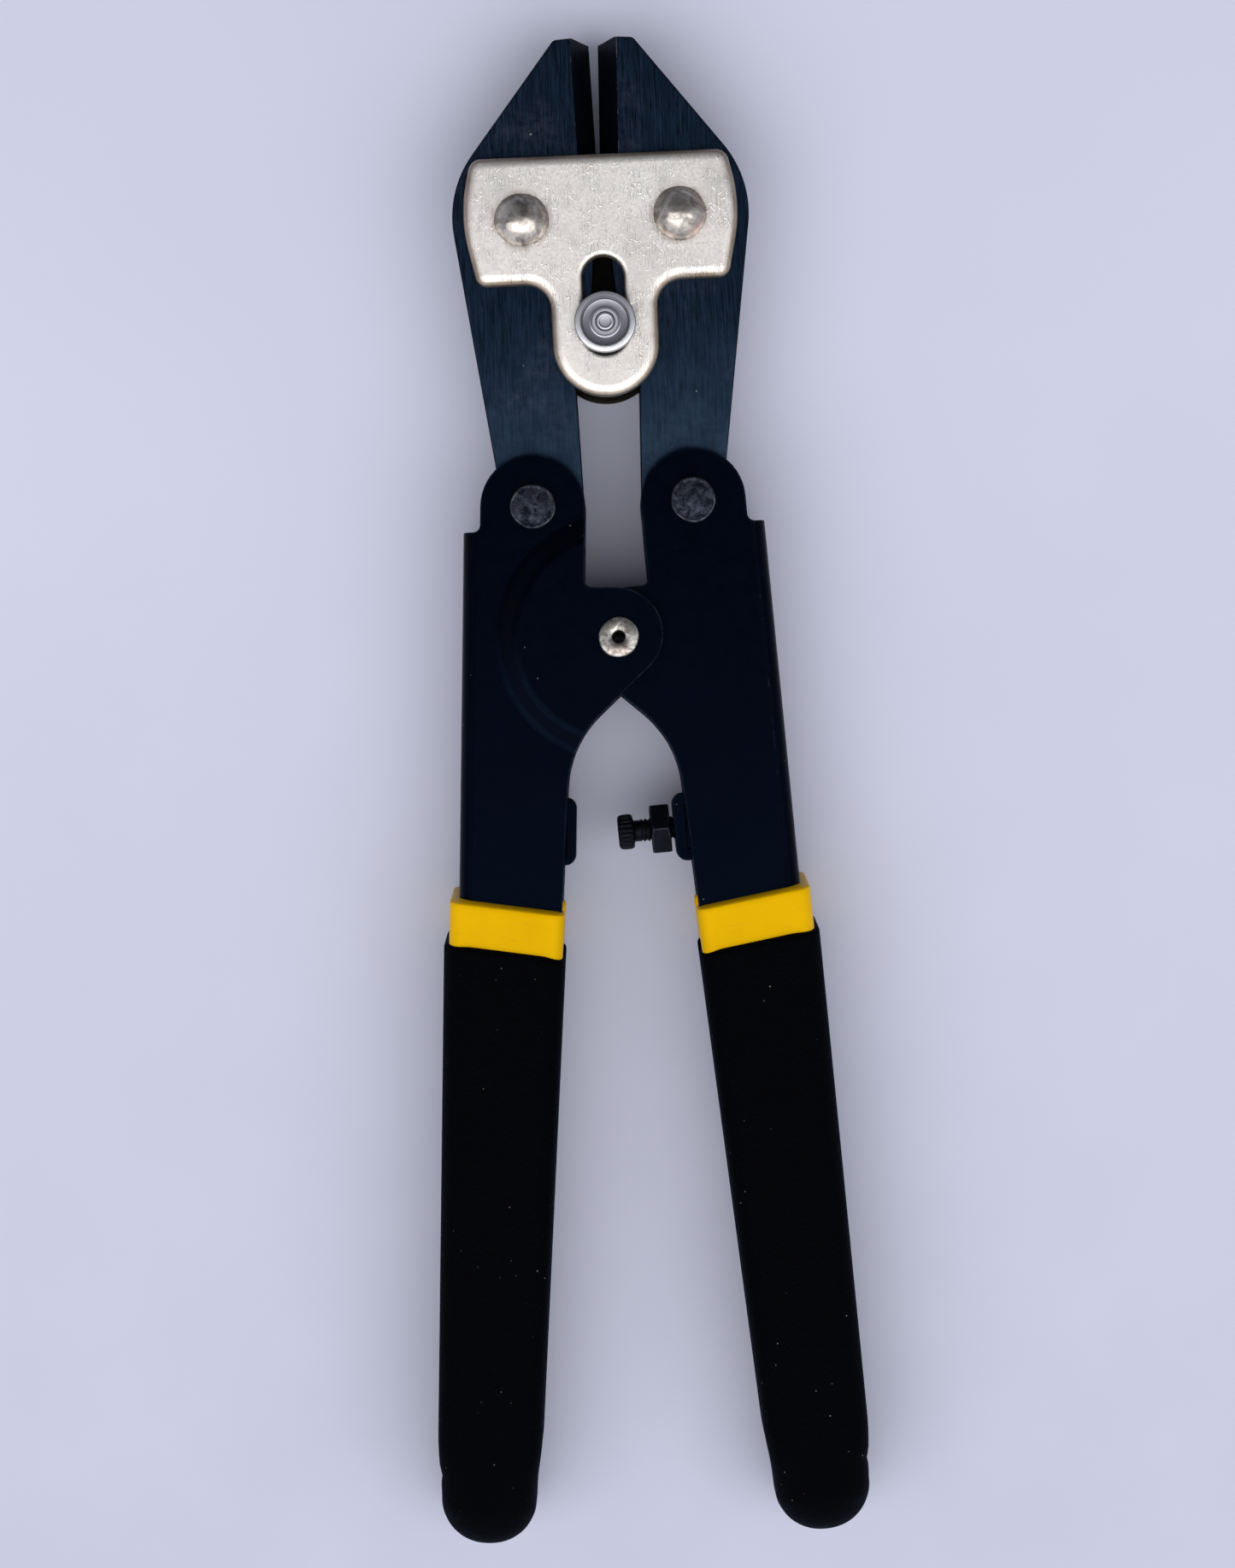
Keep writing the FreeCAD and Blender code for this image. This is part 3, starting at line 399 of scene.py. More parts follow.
def nickel():
    """Satin nickel on pressed sheet: warm white with hairline scratches and a few black pits.

    The rims are painted browner, partly as worn plating and partly as painted shade; the rivets' feet are
    painted stained and shaded; and the inner face is painted nearly black as shade.
    """
    f = Finish("nickel_plate", Metallic=1.0)
    cloud = f.noise(110, 5, 0.65)
    fine = f.noise(2600, 4, 0.7)
    pale = (0.99, 0.945, 0.905)
    tone = f.blend(f.span(cloud, 0.3, 0.7), (0.84, 0.79, 0.74), pale)
    tone = f.layer(tone, pale, f.span(fine, 0.35, 0.65), 0.5)
    grey = f.both(f.span(f.noise(190, 4, 0.7), 0.5, 0.68), f.span(fine, 0.4, 0.6))
    tone = f.layer(tone, (0.42, 0.40, 0.38), grey, 0.45)
    scratch = f.math("MAXIMUM", f.math("MAXIMUM", scratched(f, 0.5), scratched(f, 1.7)), scratched(f, 2.6))
    bright_or_dark = f.span(f.noise(800, 2, 0.5), 0.45, 0.55)
    tone = f.layer(tone, f.blend(bright_or_dark, (0.36, 0.34, 0.32), (0.98, 0.97, 0.95)), scratch, 0.6)
    pit = f.specks(260, (0.035, 0.06), f.noise(60, 1, 0.5), (0.55, 0.6))
    tone = f.layer(tone, (0.03, 0.03, 0.03), pit)
    depth = f.depth()
    # Painted shade and wear: the rounded rims are painted browner and darker, partly worn plating and partly
    # the dark that the rims reflect.
    rim = f.span(depth, PLATE_FACE - 0.01 * MM, PLATE_FACE - 0.28 * MM)
    tone = f.layer(tone, (0.25, 0.20, 0.15), f.both(rim, f.span(cloud, 0.3, 0.6, 0.7, 1.0)))
    # Painted shade and stain: a brown ring round each rivet's foot, where the dome meets the plate.
    reach = f.reach(abs(JAW_RIVET[0]), JAW_RIVET[1], True)
    foot = f.span(reach, DOME_REACH + 0.8 * MM, DOME_REACH + 0.05 * MM)
    foot = f.both(foot, f.span(f.noise(330, 4, 0.7), 0.35, 0.6))
    tone = f.layer(tone, (0.28, 0.19, 0.13), foot, 0.6)
    # Painted shade: the inner face, next to the jaws, is painted nearly black.
    inside = f.span(depth, PLATE_BACK + 0.35 * MM, PLATE_BACK + 0.1 * MM)
    tone = f.layer(tone, (0.012, 0.011, 0.010), inside)
    f.feed("Base Color", tone)
    f.feed("Roughness", f.span(fine, 0.3, 0.7, 0.38, 0.54))
    relief = f.bump(fine, 0.012 * MM, 0.5)
    f.feed("Normal", f.bump(scratch, 0.03 * MM, 0.8, relief))
    return f.material


def worn_nickel(name, dark, bright, scale):
    """Hammered rivet heads: nickel with grey and brown tarnish between a dark and a bright tone."""
    f = Finish(name, Metallic=1.0)
    cloud = f.noise(scale, 5, 0.7, distort=0.6)
    tone = f.blend(f.span(cloud, 0.36, 0.62), dark, bright)
    tone = f.layer(tone, (0.12, 0.11, 0.11), f.span(f.noise(650, 3, 0.6), 0.6, 0.7), 0.6)
    tone = f.layer(tone, (0.55, 0.34, 0.28), f.span(f.noise(240, 2, 0.5), 0.58, 0.7), 0.35)
    f.feed("Base Color", tone)
    f.feed("Roughness", f.span(cloud, 0.3, 0.7, 0.46, 0.2))
    relief = f.bump(f.noise(700, 3, 0.6), 0.05 * MM, 0.6)
    f.feed("Normal", f.bump(f.noise(3000, 3, 0.6), 0.01 * MM, 0.5, relief))
    return f.material


def turned_steel():
    """Bright turned steel: fine rings round the guide pin's axis, with the groove, the seams and the foot
    painted darker as shade.
    """
    f = Finish("turned_steel", Metallic=1.0)
    centred = f.nodes.new("ShaderNodeMapping")
    centred.vector_type = "TEXTURE"
    centred.inputs["Location"].default_value = (GUIDE[0], GUIDE[1], 0)
    f.link(f.place, centred.inputs["Vector"])
    wave = f.nodes.new("ShaderNodeTexWave")
    wave.wave_type = "RINGS"
    wave.rings_direction = "Z"
    wave.inputs["Scale"].default_value = 2200
    wave.inputs["Distortion"].default_value = 1.5
    wave.inputs["Detail"].default_value = 2
    f.link(centred.outputs["Vector"], wave.inputs["Vector"])
    rings = wave.outputs["Fac"]
    cloud = f.noise(300, 4, 0.6)
    tone = f.blend(f.span(rings, 0.2, 0.9), (0.50, 0.50, 0.54), (0.78, 0.78, 0.82))
    tone = f.layer(tone, (0.34, 0.34, 0.37), f.span(cloud, 0.45, 0.75), 0.5)
    reach = f.reach(GUIDE[0], GUIDE[1])
    # Each ring of painted shade: where it starts and ends, how soon it's full, its tone and how strong it is.
    for inner, outer, soft, colour, most in (
        (2.0, 3.4, 0.15, (0.17, 0.17, 0.20), 0.8),
        (1.16, 1.42, 0.07, (0.04, 0.04, 0.05), 0.9),
        (0.72, 0.9, 0.05, (0.07, 0.07, 0.085), 0.8),
        (3.36, 3.52, 0.05, (0.07, 0.07, 0.085), 0.8),
        (4.1, 4.5, 0.05, (0.07, 0.07, 0.085), 0.8),
    ):
        ring = f.both(f.span(reach, inner * MM, (inner + soft) * MM),
                      f.span(reach, outer * MM, (outer - soft) * MM))
        tone = f.layer(tone, colour, ring, most)
    f.feed("Base Color", tone)
    f.feed("Roughness", f.span(cloud, 0.3, 0.7, 0.30, 0.42))
    f.feed("Normal", f.bump(rings, 0.004 * MM, 0.5))
    return f.material


def black_paint():
    """Satin blue-black paint on pressed sheet, with a painted highlight along the edges, dust and rubs."""
    f = Finish("black_paint", Specular_IOR_Level=0.066, Specular_Tint=(0.22, 0.46, 1.0, 1))
    cloud = f.noise(90, 4, 0.6)
    tone = f.blend(f.span(cloud, 0.3, 0.7), (0.0001, 0.0002, 0.0010), (0.0002, 0.0004, 0.0018))
    dust = f.specks(420, (0.03, 0.055), f.noise(75, 2, 0.5), (0.5, 0.6))
    tone = f.layer(tone, (0.35, 0.37, 0.42), dust, 0.35)
    # Painted highlight: a soft pale-blue band along every edge.
    edge_highlight = f.both(f.edges(0.55 * MM, 0.01, 0.2), f.span(cloud, 0.35, 0.6, 0.35, 0.9))
    tone = f.layer(tone, (0.008, 0.014, 0.026), edge_highlight)
    rub = f.both(f.edges(0.3 * MM, 0.03, 0.25), f.span(f.noise(420, 4, 0.7), 0.54, 0.66))
    tone = f.layer(tone, (0.13, 0.145, 0.18), rub, 0.6)
    f.feed("Base Color", tone)
    f.feed("Roughness", f.span(f.noise(500, 4, 0.65), 0.3, 0.7, 0.26, 0.42))
    relief = f.bump(f.noise(1900, 3, 0.6), 0.012 * MM, 0.45)
    f.feed("Normal", f.bump(f.noise(160, 2, 0.5), 0.05 * MM, 0.3, relief))
    return f.material


def worn_oxide():
    """Flat rivet heads whose black finish is worn to mottled grey steel, with the rim painted bright, partly
    as worn steel and partly as a painted highlight.
    """
    f = Finish("worn_oxide_rivet", Metallic=0.9)
    cloud = f.noise(900, 5, 0.72, distort=0.5)
    tone = f.blend(f.span(cloud, 0.42, 0.62), (0.003, 0.005, 0.011), (0.046, 0.052, 0.074))
    # Painted highlight and wear: a bright patchy band round the rim.
    rim = f.both(f.edges(0.3 * MM, 0.01, 0.1), f.span(f.noise(500, 2, 0.5), 0.3, 0.5))
    tone = f.layer(tone, (0.42, 0.42, 0.44), rim, 0.8)
    f.feed("Base Color", tone)
    f.feed("Roughness", f.span(cloud, 0.3, 0.7, 0.5, 0.32))
    f.feed("Normal", f.bump(cloud, 0.03 * MM, 0.6))
    return f.material


def screw_steel(name, edge_wear_and_highlight_width):
    """Oiled black screw or nut, painted grey along its edges over a width: partly rubbed wear, partly a
    painted highlight.
    """
    f = Finish(name, Metallic=0.6, Specular_IOR_Level=0.12)
    cloud = f.noise(500, 4, 0.65)
    tone = f.blend(f.span(cloud, 0.35, 0.7), (0.001, 0.0015, 0.0035), (0.004, 0.005, 0.009))
    # Painted highlight and wear: grey along the edges, in patches.
    worn_edge_and_highlight = f.both(f.edges(edge_wear_and_highlight_width, 0.02, 0.12), f.span(f.noise(900, 3, 0.6), 0.35, 0.6))
    tone = f.layer(tone, (0.26, 0.29, 0.35), worn_edge_and_highlight, 0.7)
    f.feed("Base Color", tone)
    f.feed("Roughness", f.span(cloud, 0.3, 0.7, 0.34, 0.5))
    f.feed("Normal", f.bump(f.noise(2500, 3, 0.6), 0.01 * MM, 0.5))
    return f.material


def yellow_vinyl():
    """Smooth dipped vinyl, warm yellow, with faint rub marks."""
    f = Finish("yellow_vinyl", Specular_IOR_Level=0.16, Specular_Tint=(1.0, 0.8, 0.12, 1),
               Subsurface_Weight=0.05, Subsurface_Radius=(0.8 * MM, 0.5 * MM, 0.1 * MM),
               Subsurface_Scale=1.0)
    cloud = f.noise(130, 3, 0.5)
    tone = f.blend(f.span(cloud, 0.3, 0.7), (0.63, 0.350, 0.0004), (0.685, 0.392, 0.0006))
    rub = f.span(f.noise(1, 4, 0.7, f.stretched(300, 900, 500, 0.5)), 0.6, 0.72)
    tone = f.layer(tone, (0.42, 0.22, 0.01), rub, 0.3)
    f.feed("Base Color", tone)
    f.feed("Roughness", f.span(f.noise(700, 3, 0.6), 0.3, 0.7, 0.3, 0.44))
    f.feed("Normal", f.bump(f.noise(240, 3, 0.5), 0.06 * MM, 0.35))
    return f.material


def black_vinyl():
    """Thick dipped vinyl with a fine crinkled skin and pale dust caught in it."""
    f = Finish("black_vinyl", Specular_IOR_Level=0.018, Sheen_Weight=0.022, Sheen_Roughness=0.35,
               Sheen_Tint=(0.25, 0.5, 1.0, 1))
    grit = f.noise(2300, 4, 0.62, distort=0.8)
    crinkle = f.cells(1900, feature="SMOOTH_F1")
    height = f.math("ADD", f.both(grit, 0.7), f.both(crinkle, 0.6))
    height = f.math("ADD", height, f.both(f.noise(1300, 3, 0.6), 0.5))
    tone = f.blend(f.span(grit, 0.35, 0.7), (0.0002, 0.0003, 0.0007), (0.0010, 0.0012, 0.0022))
    dust = f.specks(620, (0.04, 0.075), f.noise(150, 3, 0.6), (0.53, 0.62))
    tone = f.layer(tone, (0.30, 0.29, 0.29), dust, 0.5)
    f.feed("Base Color", tone)
    f.feed("Roughness", f.span(grit, 0.3, 0.7, 0.6, 0.85))
    f.feed("Normal", f.bump(height, 0.22 * MM, 0.75))
    return f.material


def floor_paper():
    """Pale, faintly blue paper, with painted shade making it a little darker towards the grips."""
    f = Finish("floor_paper")
    cloud = f.noise(9, 3, 0.5)
    tone = f.blend(f.span(cloud, 0.3, 0.7), (0.53, 0.545, 0.665), (0.56, 0.575, 0.695))
    # Painted shade: the paper darkens towards the grips.
    f.feed("Base Color", f.layer(tone, (0.455, 0.47, 0.58), f.span(f.axis("Y"), 60 * MM, -110 * MM)))
    f.feed("Roughness", f.span(f.noise(60, 3, 0.5), 0.3, 0.7, 0.6, 0.8))
    f.feed("Normal", f.bump(f.noise(900, 4, 0.6), 0.02 * MM, 0.3))
    return f.material


# ---------------------------------------------------------------- mesh helpers


def make_piece(name, points, faces, material):
    """A smooth mesh object at the origin from an array of points and an array or list of faces."""
    mesh = bpy.data.meshes.new(name)
    mesh.from_pydata(np.asarray(points, float).reshape(-1, 3), [], [list(face) for face in faces])
    mesh.materials.append(material)
    mesh.shade_smooth()
    mesh.update()
    piece = bpy.data.objects.new(name, mesh)
    bpy.context.scene.collection.objects.link(piece)
    return piece


def grid_faces(rows, columns):
    """Quads over a grid of points whose last column joins the first."""
    row, column = np.meshgrid(np.arange(rows - 1), np.arange(columns), indexing="ij")
    here = row * columns + column
    right = row * columns + (column + 1) % columns
    quads = np.stack([here, right, right + columns, here + columns], axis=-1)
    return quads.reshape(-1, 4)


MERGE = 0.001 * MM


def tidy_normals(piece, merge=0.1 * MERGE):
    """Merges doubled points and turns every face outwards."""
    mesh = bmesh.new()
    mesh.from_mesh(piece.data)
    bmesh.ops.remove_doubles(mesh, verts=mesh.verts, dist=merge)
    bmesh.ops.dissolve_degenerate(mesh, edges=mesh.edges, dist=merge)
    bmesh.ops.recalc_face_normals(mesh, faces=mesh.faces)
    mesh.to_mesh(piece.data)
    mesh.free()
    piece.data.update()
    return piece


def round_edges(piece, width, segments, angle):
    """Rounds the edges sharper than an angle and keeps the faces between them flat."""
    bevel = piece.modifiers.new("edges", "BEVEL")
    bevel.width = width
    bevel.segments = segments
    bevel.limit_method = "ANGLE"
    bevel.angle_limit = angle
    bevel.use_clamp_overlap = True
    return keep_flats(piece)


def keep_flats(piece):
    """Shades the flat faces flat, whatever rounding meets them."""
    weights = piece.modifiers.new("flats", "WEIGHTED_NORMAL")
    weights.weight = 80
    weights.keep_sharp = True
    return piece


ROUND = 180


def lathe(name, profile, centre, material, wobble=0.0, turns=120, crisp=ROUND):
    """A turned piece: a profile of (radius, height) carried round an upright axis.

    wobble swells and shrinks the radius, and lifts and drops the face, by slow waves of the
    angle, as on a hammered head. Edges sharper than crisp degrees stay sharp.
    """
    profile = np.asarray(profile, float)
    angle = np.linspace(0, 2 * math.pi, turns, endpoint=False)
    radius, height = profile[:, 0][:, None], profile[:, 1][:, None]
    seed = centre[0] * 400
    out = 1 + wobble * (np.sin(2 * angle + seed) + 0.6 * np.sin(5 * angle + 2 * seed)) / (2 * MM)
    lift = wobble * np.sin(angle + seed) * np.sin(1400 * radius + 2 * angle) * np.sign(height)
    lift = lift * np.minimum(radius / (1 * MM), 1)
    points = np.stack([
        centre[0] + radius * out * np.cos(angle),
        centre[1] + radius * out * np.sin(angle),
        centre[2] + height + lift,
    ], axis=-1)
    piece = make_piece(name, points, grid_faces(len(profile), turns), material)
    tidy_normals(piece).data.set_sharp_from_angle(angle=math.radians(crisp))
    return keep_flats(piece)


def both_ends(half):
    """A profile from the middle plane to its top, with the same turned over below it."""
    half = np.asarray(half, float) * MM
    return np.concatenate([half[::-1] * [1, -1], half])


OUTLINE_STEP = 0.7 * MM
ARC_STEPS = 16


def rounded_outline(corners, radii):
    """A closed outline whose straight sides are joined by arcs, with its outward normals.

    Each arc touches both sides: its centre lies on the corner's bisector, and its points are
    the two tangent points' directions from there, turned from one to the other.
    """
    corners = np.asarray(corners, float)
    stops = []
    for before, corner, after, radius in zip(np.roll(corners, 1, 0), corners,
                                             np.roll(corners, -1, 0), radii):
        into = (corner - before) / np.linalg.norm(corner - before)
        away = (after - corner) / np.linalg.norm(after - corner)
        turn = math.atan2(into[0] * away[1] - into[1] * away[0], into @ away)
        back = radius * math.tan(abs(turn) / 2)
        inward = np.sign(turn) * np.array([-into[1], into[0]])
        centre = corner - back * into + radius * inward
        sweep = turn * np.linspace(0, 1, ARC_STEPS)[:, None]
        spoke = -inward * radius
        stops.append(centre + spoke * np.cos(sweep)
                     + np.array([-spoke[1], spoke[0]]) * np.sin(sweep))
    path = np.concatenate(stops)
    ahead = np.roll(path, -1, 0)
    gap = np.linalg.norm(ahead - path, axis=1)
    parts = np.maximum(1, np.ceil(gap / OUTLINE_STEP).astype(int))
    start = np.repeat(np.arange(len(path)), parts)
    share = np.concatenate([np.arange(n) / n for n in parts])[:, None]
    path = path[start] * (1 - share) + ahead[start] * share
    path = path[np.linalg.norm(np.roll(path, -1, 0) - path, axis=1) > MERGE]
    way = np.roll(path, -1, 0) - np.roll(path, 1, 0)
    way /= np.linalg.norm(way, axis=1)[:, None]
    return path, np.stack([way[:, 1], -way[:, 0]], axis=-1)


def quarter(inset, height, top, steps):
    """A rounded rim: from its foot on the wall to the face, on a quarter of an ellipse."""
    sweep = np.linspace(0, math.pi / 2, steps)
    return [(inset * (1 - math.cos(t)), top - height * (1 - math.sin(t))) for t in sweep]


def pressed_sheet(name, outer, hole, outer_rim, hole_rim, place, flip, material):
    """A flat sheet with rounded rims round its outline and round one hole.

    Each rim is a list of (inset, height) carried along its path; the two faces between the
    rims are filled flat. flip is 1, or -1 to put the rounded side below.
    """
    loops, faces, first = [], [], 0
    for (path, normals), rim, sign in ((outer, outer_rim, -1), (hole, hole_rim, 1)):
        rim = np.asarray(rim, float) * MM
        flat = path[None] + sign * normals[None] * rim[:, :1, None]
        high = np.broadcast_to(rim[:, 1][:, None, None] * flip, flat.shape[:2] + (1,))
        loops.append((np.concatenate([flat, high], axis=-1) + place).reshape(-1, 3))
        faces.append(grid_faces(len(rim), len(path)) + first)
        first += len(rim) * len(path)
    piece = make_piece(name, np.concatenate(loops), np.concatenate(faces), material)
    work = bmesh.new()
    work.from_mesh(piece.data)
    open_edges = [edge for edge in work.edges if edge.is_boundary]
    for level in sorted({round(edge.verts[0].co.z, 6) for edge in open_edges}):
        ring = [edge for edge in open_edges if abs(edge.verts[0].co.z - level) < 1e-5]
        bmesh.ops.triangle_fill(work, edges=ring, use_beauty=True, normal=(0, 0, 1))
    bmesh.ops.recalc_face_normals(work, faces=work.faces)
    work.to_mesh(piece.data)
    work.free()
    piece.data.shade_smooth()
    return keep_flats(piece)


SLOT_OF = {part["node"]: part["material_slot"] for part in frame["record"]["subparts"]}


def dress(node, material):
    """Gives a frame node its finish."""
    slots = frame["nodes"][node].data.materials
    slots.clear()
    slots.append(material)


def ride_with(piece, node):
    """The piece moves with the node's body."""
    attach(piece, frame["nodes"][node]["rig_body"])


def stands_for(piece, node):
    """The piece rides on the node's body and hides it."""
    ride_with(piece, node)
    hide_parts(node)


# The pressed step round a handle's lobe: its inner and outer radius, and its bend.
JOGGLE = (14.4 * MM, 16.7 * MM)
JOGGLE_SOFT = 0.85 * MM
JOGGLE_NEAR = 0.06 * MM
JOGGLE_DEEP = INNER_HALF - 0.1 * MM
SHARP = math.radians(28)


def on_joggle(edge):
    """Whether a bent edge lies on one of the pressed step's two circles, in the channel's wall."""
    points = np.array([corner.co for corner in edge.verts]) - PIVOT
    reach = np.hypot(points[:, 0], points[:, 1])
    on_circle = any(np.all(np.abs(reach - radius) < JOGGLE_NEAR) for radius in JOGGLE)
    return edge.calc_face_angle(0) > 0.3 and on_circle and np.all(np.abs(points[:, 2]) > JOGGLE_DEEP)


def softened_copy(node, width, material, segments=3, stepped=False):
    """Stands for a frame node with its own shape, whose sharp edges are rounded.

    Its points are merged and its flat areas joined into single faces. On a stepped node the
    pressed step's edges are rounded widely first, and then every sharp edge by the width.
    """
    mesh = frame["nodes"][node].data.copy()
    mesh.name = node + "_soft"
    work = bmesh.new()
    work.from_mesh(mesh)
    bmesh.ops.remove_doubles(work, verts=work.verts, dist=MERGE)
    bmesh.ops.dissolve_limit(work, angle_limit=math.radians(0.4), verts=work.verts, edges=work.edges)
    if stepped:
        step = [edge for edge in work.edges if on_joggle(edge)]
        bmesh.ops.bevel(work, geom=step, offset=JOGGLE_SOFT, segments=5, profile=0.5,
                        affect="EDGES", clamp_overlap=True)
    work.to_mesh(mesh)
    work.free()
    mesh.materials.clear()
    mesh.materials.append(material)
    mesh.shade_smooth()
    piece = bpy.data.objects.new(node + "_soft", mesh)
    bpy.context.scene.collection.objects.link(piece)
    round_edges(piece, width, segments, SHARP)
    stands_for(piece, node)


# ---------------------------------------------------------------- dipped coats

# A dip's edge is lower towards the mouth, by its slant, and lower on the tool's front, by its tilt.
DIP_SLANT = math.tan(math.radians(6.5))
DIP_TILT = math.tan(math.radians(7.5))
BAND_START = -36.65 * MM
BAND_LONG = 5.9 * MM
BAND_UNDER = 3.0 * MM
MIDDLE = (SPINE + ARCH_EDGE[0]) / 2
SKIN = 0.45 * MM
SUNK = 0.15 * MM
CORNER_STEPS = 9
RIM_STEPS = 9
SIDE_STEP = 0.8 * MM

# The grip's closed end: where its mouth closes, its notch, and its rounded tip.
CLOSE_FROM, CLOSE_TO = CHANNEL_END + 3.2 * MM, CHANNEL_END - 1.2 * MM
NOTCH_AT = CHANNEL_END - 1.9 * MM
NOTCH = 0.75 * MM
GRIP_END = handle_box("grip_left", LEFT)[0][1]
TIP_LONG = 6.4 * MM
TIP_STEPS = 26
TIP_MIDDLE = -16.65 * MM
TIP_HALF = 6.6 * MM

# Each corner of the C section: its two levels, and which way the outline comes in and leaves.
SECTION = (
    ("lip", "mouth", (1, 0), (0, 1)),
    ("lip", "top", (0, 1), (-1, 0)),
    ("back", "top", (-1, 0), (0, -1)),
    ("back", "-top", (0, -1), (1, 0)),
    ("lip", "-top", (1, 0), (0, 1)),
    ("lip", "-mouth", (0, 1), (-1, 0)),
    ("floor", "-mouth", (-1, 0), (0, 1)),
    ("floor", "mouth", (0, 1), (1, 0)),
)


def dip_line(x, z, side, start):
    """The height of a dip's edge: lower towards the mouth and lower on the tool's front."""
    return start - DIP_SLANT * (x - MIDDLE) - side * DIP_TILT * z


def open_section(across, upright, radii):
    """The outline of a C-shaped coat at every station, as arrays of x and z.

    across and upright name each level's value at every station; each corner is an arc between
    its two sides, which are the section's straight faces.
    """
    sweep = np.linspace(0, math.pi / 2, CORNER_STEPS)
    coming, leaving = 1 - np.sin(sweep), 1 - np.cos(sweep)
    xs, zs = [], []
    for (level_x, level_z, into, away), radius in zip(SECTION, radii):
        sign = -1 if level_z.startswith("-") else 1
        radius = radius[:, None]
        xs.append(across[level_x][:, None] + radius * (away[0] * leaving - into[0] * coming))
        zs.append(sign * upright[level_z.lstrip("-")][:, None]
                  + radius * (away[1] * leaving - into[1] * coming))
    return np.concatenate(xs, axis=1), np.concatenate(zs, axis=1)


def ease(value, low, high):
    """0 below low and 1 above high, with a smooth rise between."""
    share = np.clip((value - low) / (high - low), 0, 1)
    return share * share * (3 - 2 * share)


def mix(first, second, share):
    """From the first value to the second as the share goes from 0 to 1."""
    return first * (1 - share) + second * share


def densify(x, z):
    """Adds points along the long straight runs of every station's outline."""
    length = np.hypot(np.diff(np.c_[x, x[:, :1]]), np.diff(np.c_[z, z[:, :1]])).max(0)
    parts = np.maximum(1, np.ceil(length / SIDE_STEP).astype(int))
    following = np.roll(np.arange(x.shape[1]), -1)
    start = np.repeat(np.arange(x.shape[1]), parts)
    share = np.concatenate([np.arange(n) / n for n in parts])
    end = following[start]
    return mix(x[:, start], x[:, end], share), mix(z[:, start], z[:, end], share)


def ellipse(share):
    """How wide a quarter of an ellipse is, from 0 at its pole to 1 a share of 1 further."""
    return np.sqrt(np.clip(1 - (1 - np.clip(share, 0, 1)) ** 2, 0, 1))


def dipped_coat(name, side, start, end, rim, back, face, lip, corner, material, closed=False):
    """A coat dipped over the channel: the C-shaped section carried down the handle.

    The coat swells from nothing at its dip line over a rounded rim, to back, face and lip proud
    of the steel. A closed one's mouth closes past the channel's end, its back is notched there,
    and its section settles to an oval and shrinks to a point on a half ellipse.
    """
    long = start - end
    down = np.concatenate([
        rim * (1 - np.cos(np.linspace(0, math.pi / 2, RIM_STEPS))),
        np.linspace(rim, long, 110 if closed else 14)[1:],
    ])
    if closed:
        tip = long - TIP_LONG * (1 - np.sin(np.linspace(0, math.pi / 2, TIP_STEPS)))
        down = np.concatenate([down[down < long - TIP_LONG], tip])
    along = start - down
    swell = ellipse(down / rim)
    across = {
        "lip": steel_edge(along) - SUNK + (lip + SUNK) * swell,
        "back": SPINE + SUNK - (back + SUNK) * swell,
        "floor": SPINE + SHEET - SUNK + (SKIN + SUNK) * swell,
    }
    upright = {
        "top": WALL_HALF - SUNK + (face + SUNK) * swell,
        "mouth": INNER_HALF + SUNK - (SKIN + SUNK) * swell,
    }
    outer = np.full_like(along, corner)
    inner = np.full_like(along, 0.5 * MM)
    big = np.minimum(corner, 0.9 * (upright["top"] - upright["mouth"]))
    small = 0.25 * MM + 0.35 * MM * swell
    if closed:
        closing = ease(-along, -CLOSE_FROM, -CLOSE_TO)
        upright["mouth"] = upright["mouth"] * (1 - closing)
        across["floor"] = mix(across["floor"], across["lip"] - 1.2 * MM, closing)
        across["back"] = across["back"] + NOTCH * np.exp(-((along - NOTCH_AT) / NOTCH) ** 2)
        settle = ease(-along, -CHANNEL_END - 4 * MM, -end - TIP_LONG)
        across["back"] = mix(across["back"], TIP_MIDDLE - TIP_HALF, settle)
        across["lip"] = mix(across["lip"], TIP_MIDDLE + TIP_HALF, settle)
        shrink = ellipse((long - down) / TIP_LONG)
        for level in across:
            across[level] = TIP_MIDDLE + (across[level] - TIP_MIDDLE) * shrink
        upright["top"] = upright["top"] * shrink ** 0.9
        full = 0.96 * min(TIP_HALF, WALL_HALF + face)
        outer = corner + (full - corner) * ease(-along, -CHANNEL_END - 2 * MM, -end - 1 * MM)
        outer = np.minimum(outer, 0.98 * np.minimum(upright["top"], TIP_HALF * shrink))
        big = np.minimum(outer, mix(big, outer, closing))
        small, inner = small * (1 - closing), inner * (1 - closing)
    x, z = densify(*open_section(across, upright, [small, big, outer, outer, big, small, inner, inner]))
    fade = np.clip((along - end) / long, 0, 1)[:, None]
    y = along[:, None] + (dip_line(x, z, side, start) - start) * fade
    wave = 0.05 * MM * np.sin(y * 410 + x * 300) * np.sin(z * 500 + y * 170 + 2 * side)
    z = z + wave * (np.abs(z) > INNER_HALF) * swell[:, None]
    rows, columns = x.shape
    points = handle_to_frame(np.stack([x, y, z], axis=-1), side)
    faces = [*grid_faces(rows, columns), range(columns), range((rows - 1) * columns, rows * columns)]
    return tidy_normals(make_piece(name, points, faces, material), MERGE)


# ---------------------------------------------------------------- screw, nut and the tabs' blocks

STOP_Y = -27.0 * MM
RIGHT_SCREW_LOW, RIGHT_SCREW_HIGH = handle_box("stop_screw", RIGHT)
NUT_LOW, NUT_HIGH = handle_box("lock_nut", RIGHT)


def along_screw(radius, angle, reach):
    """Points round the screw's axis in the right handle's axes, put into the frame."""
    points = np.stack([reach + 0 * radius, STOP_Y + radius * np.cos(angle), radius * np.sin(angle)], -1)
    return handle_to_frame(points, RIGHT)


def hexagon(half, angle):
    """The radius of a hexagon at an angle: half its width over its flats, over a cosine."""
    return half / np.cos((angle + math.pi / 6) % (math.pi / 3) - math.pi / 6)


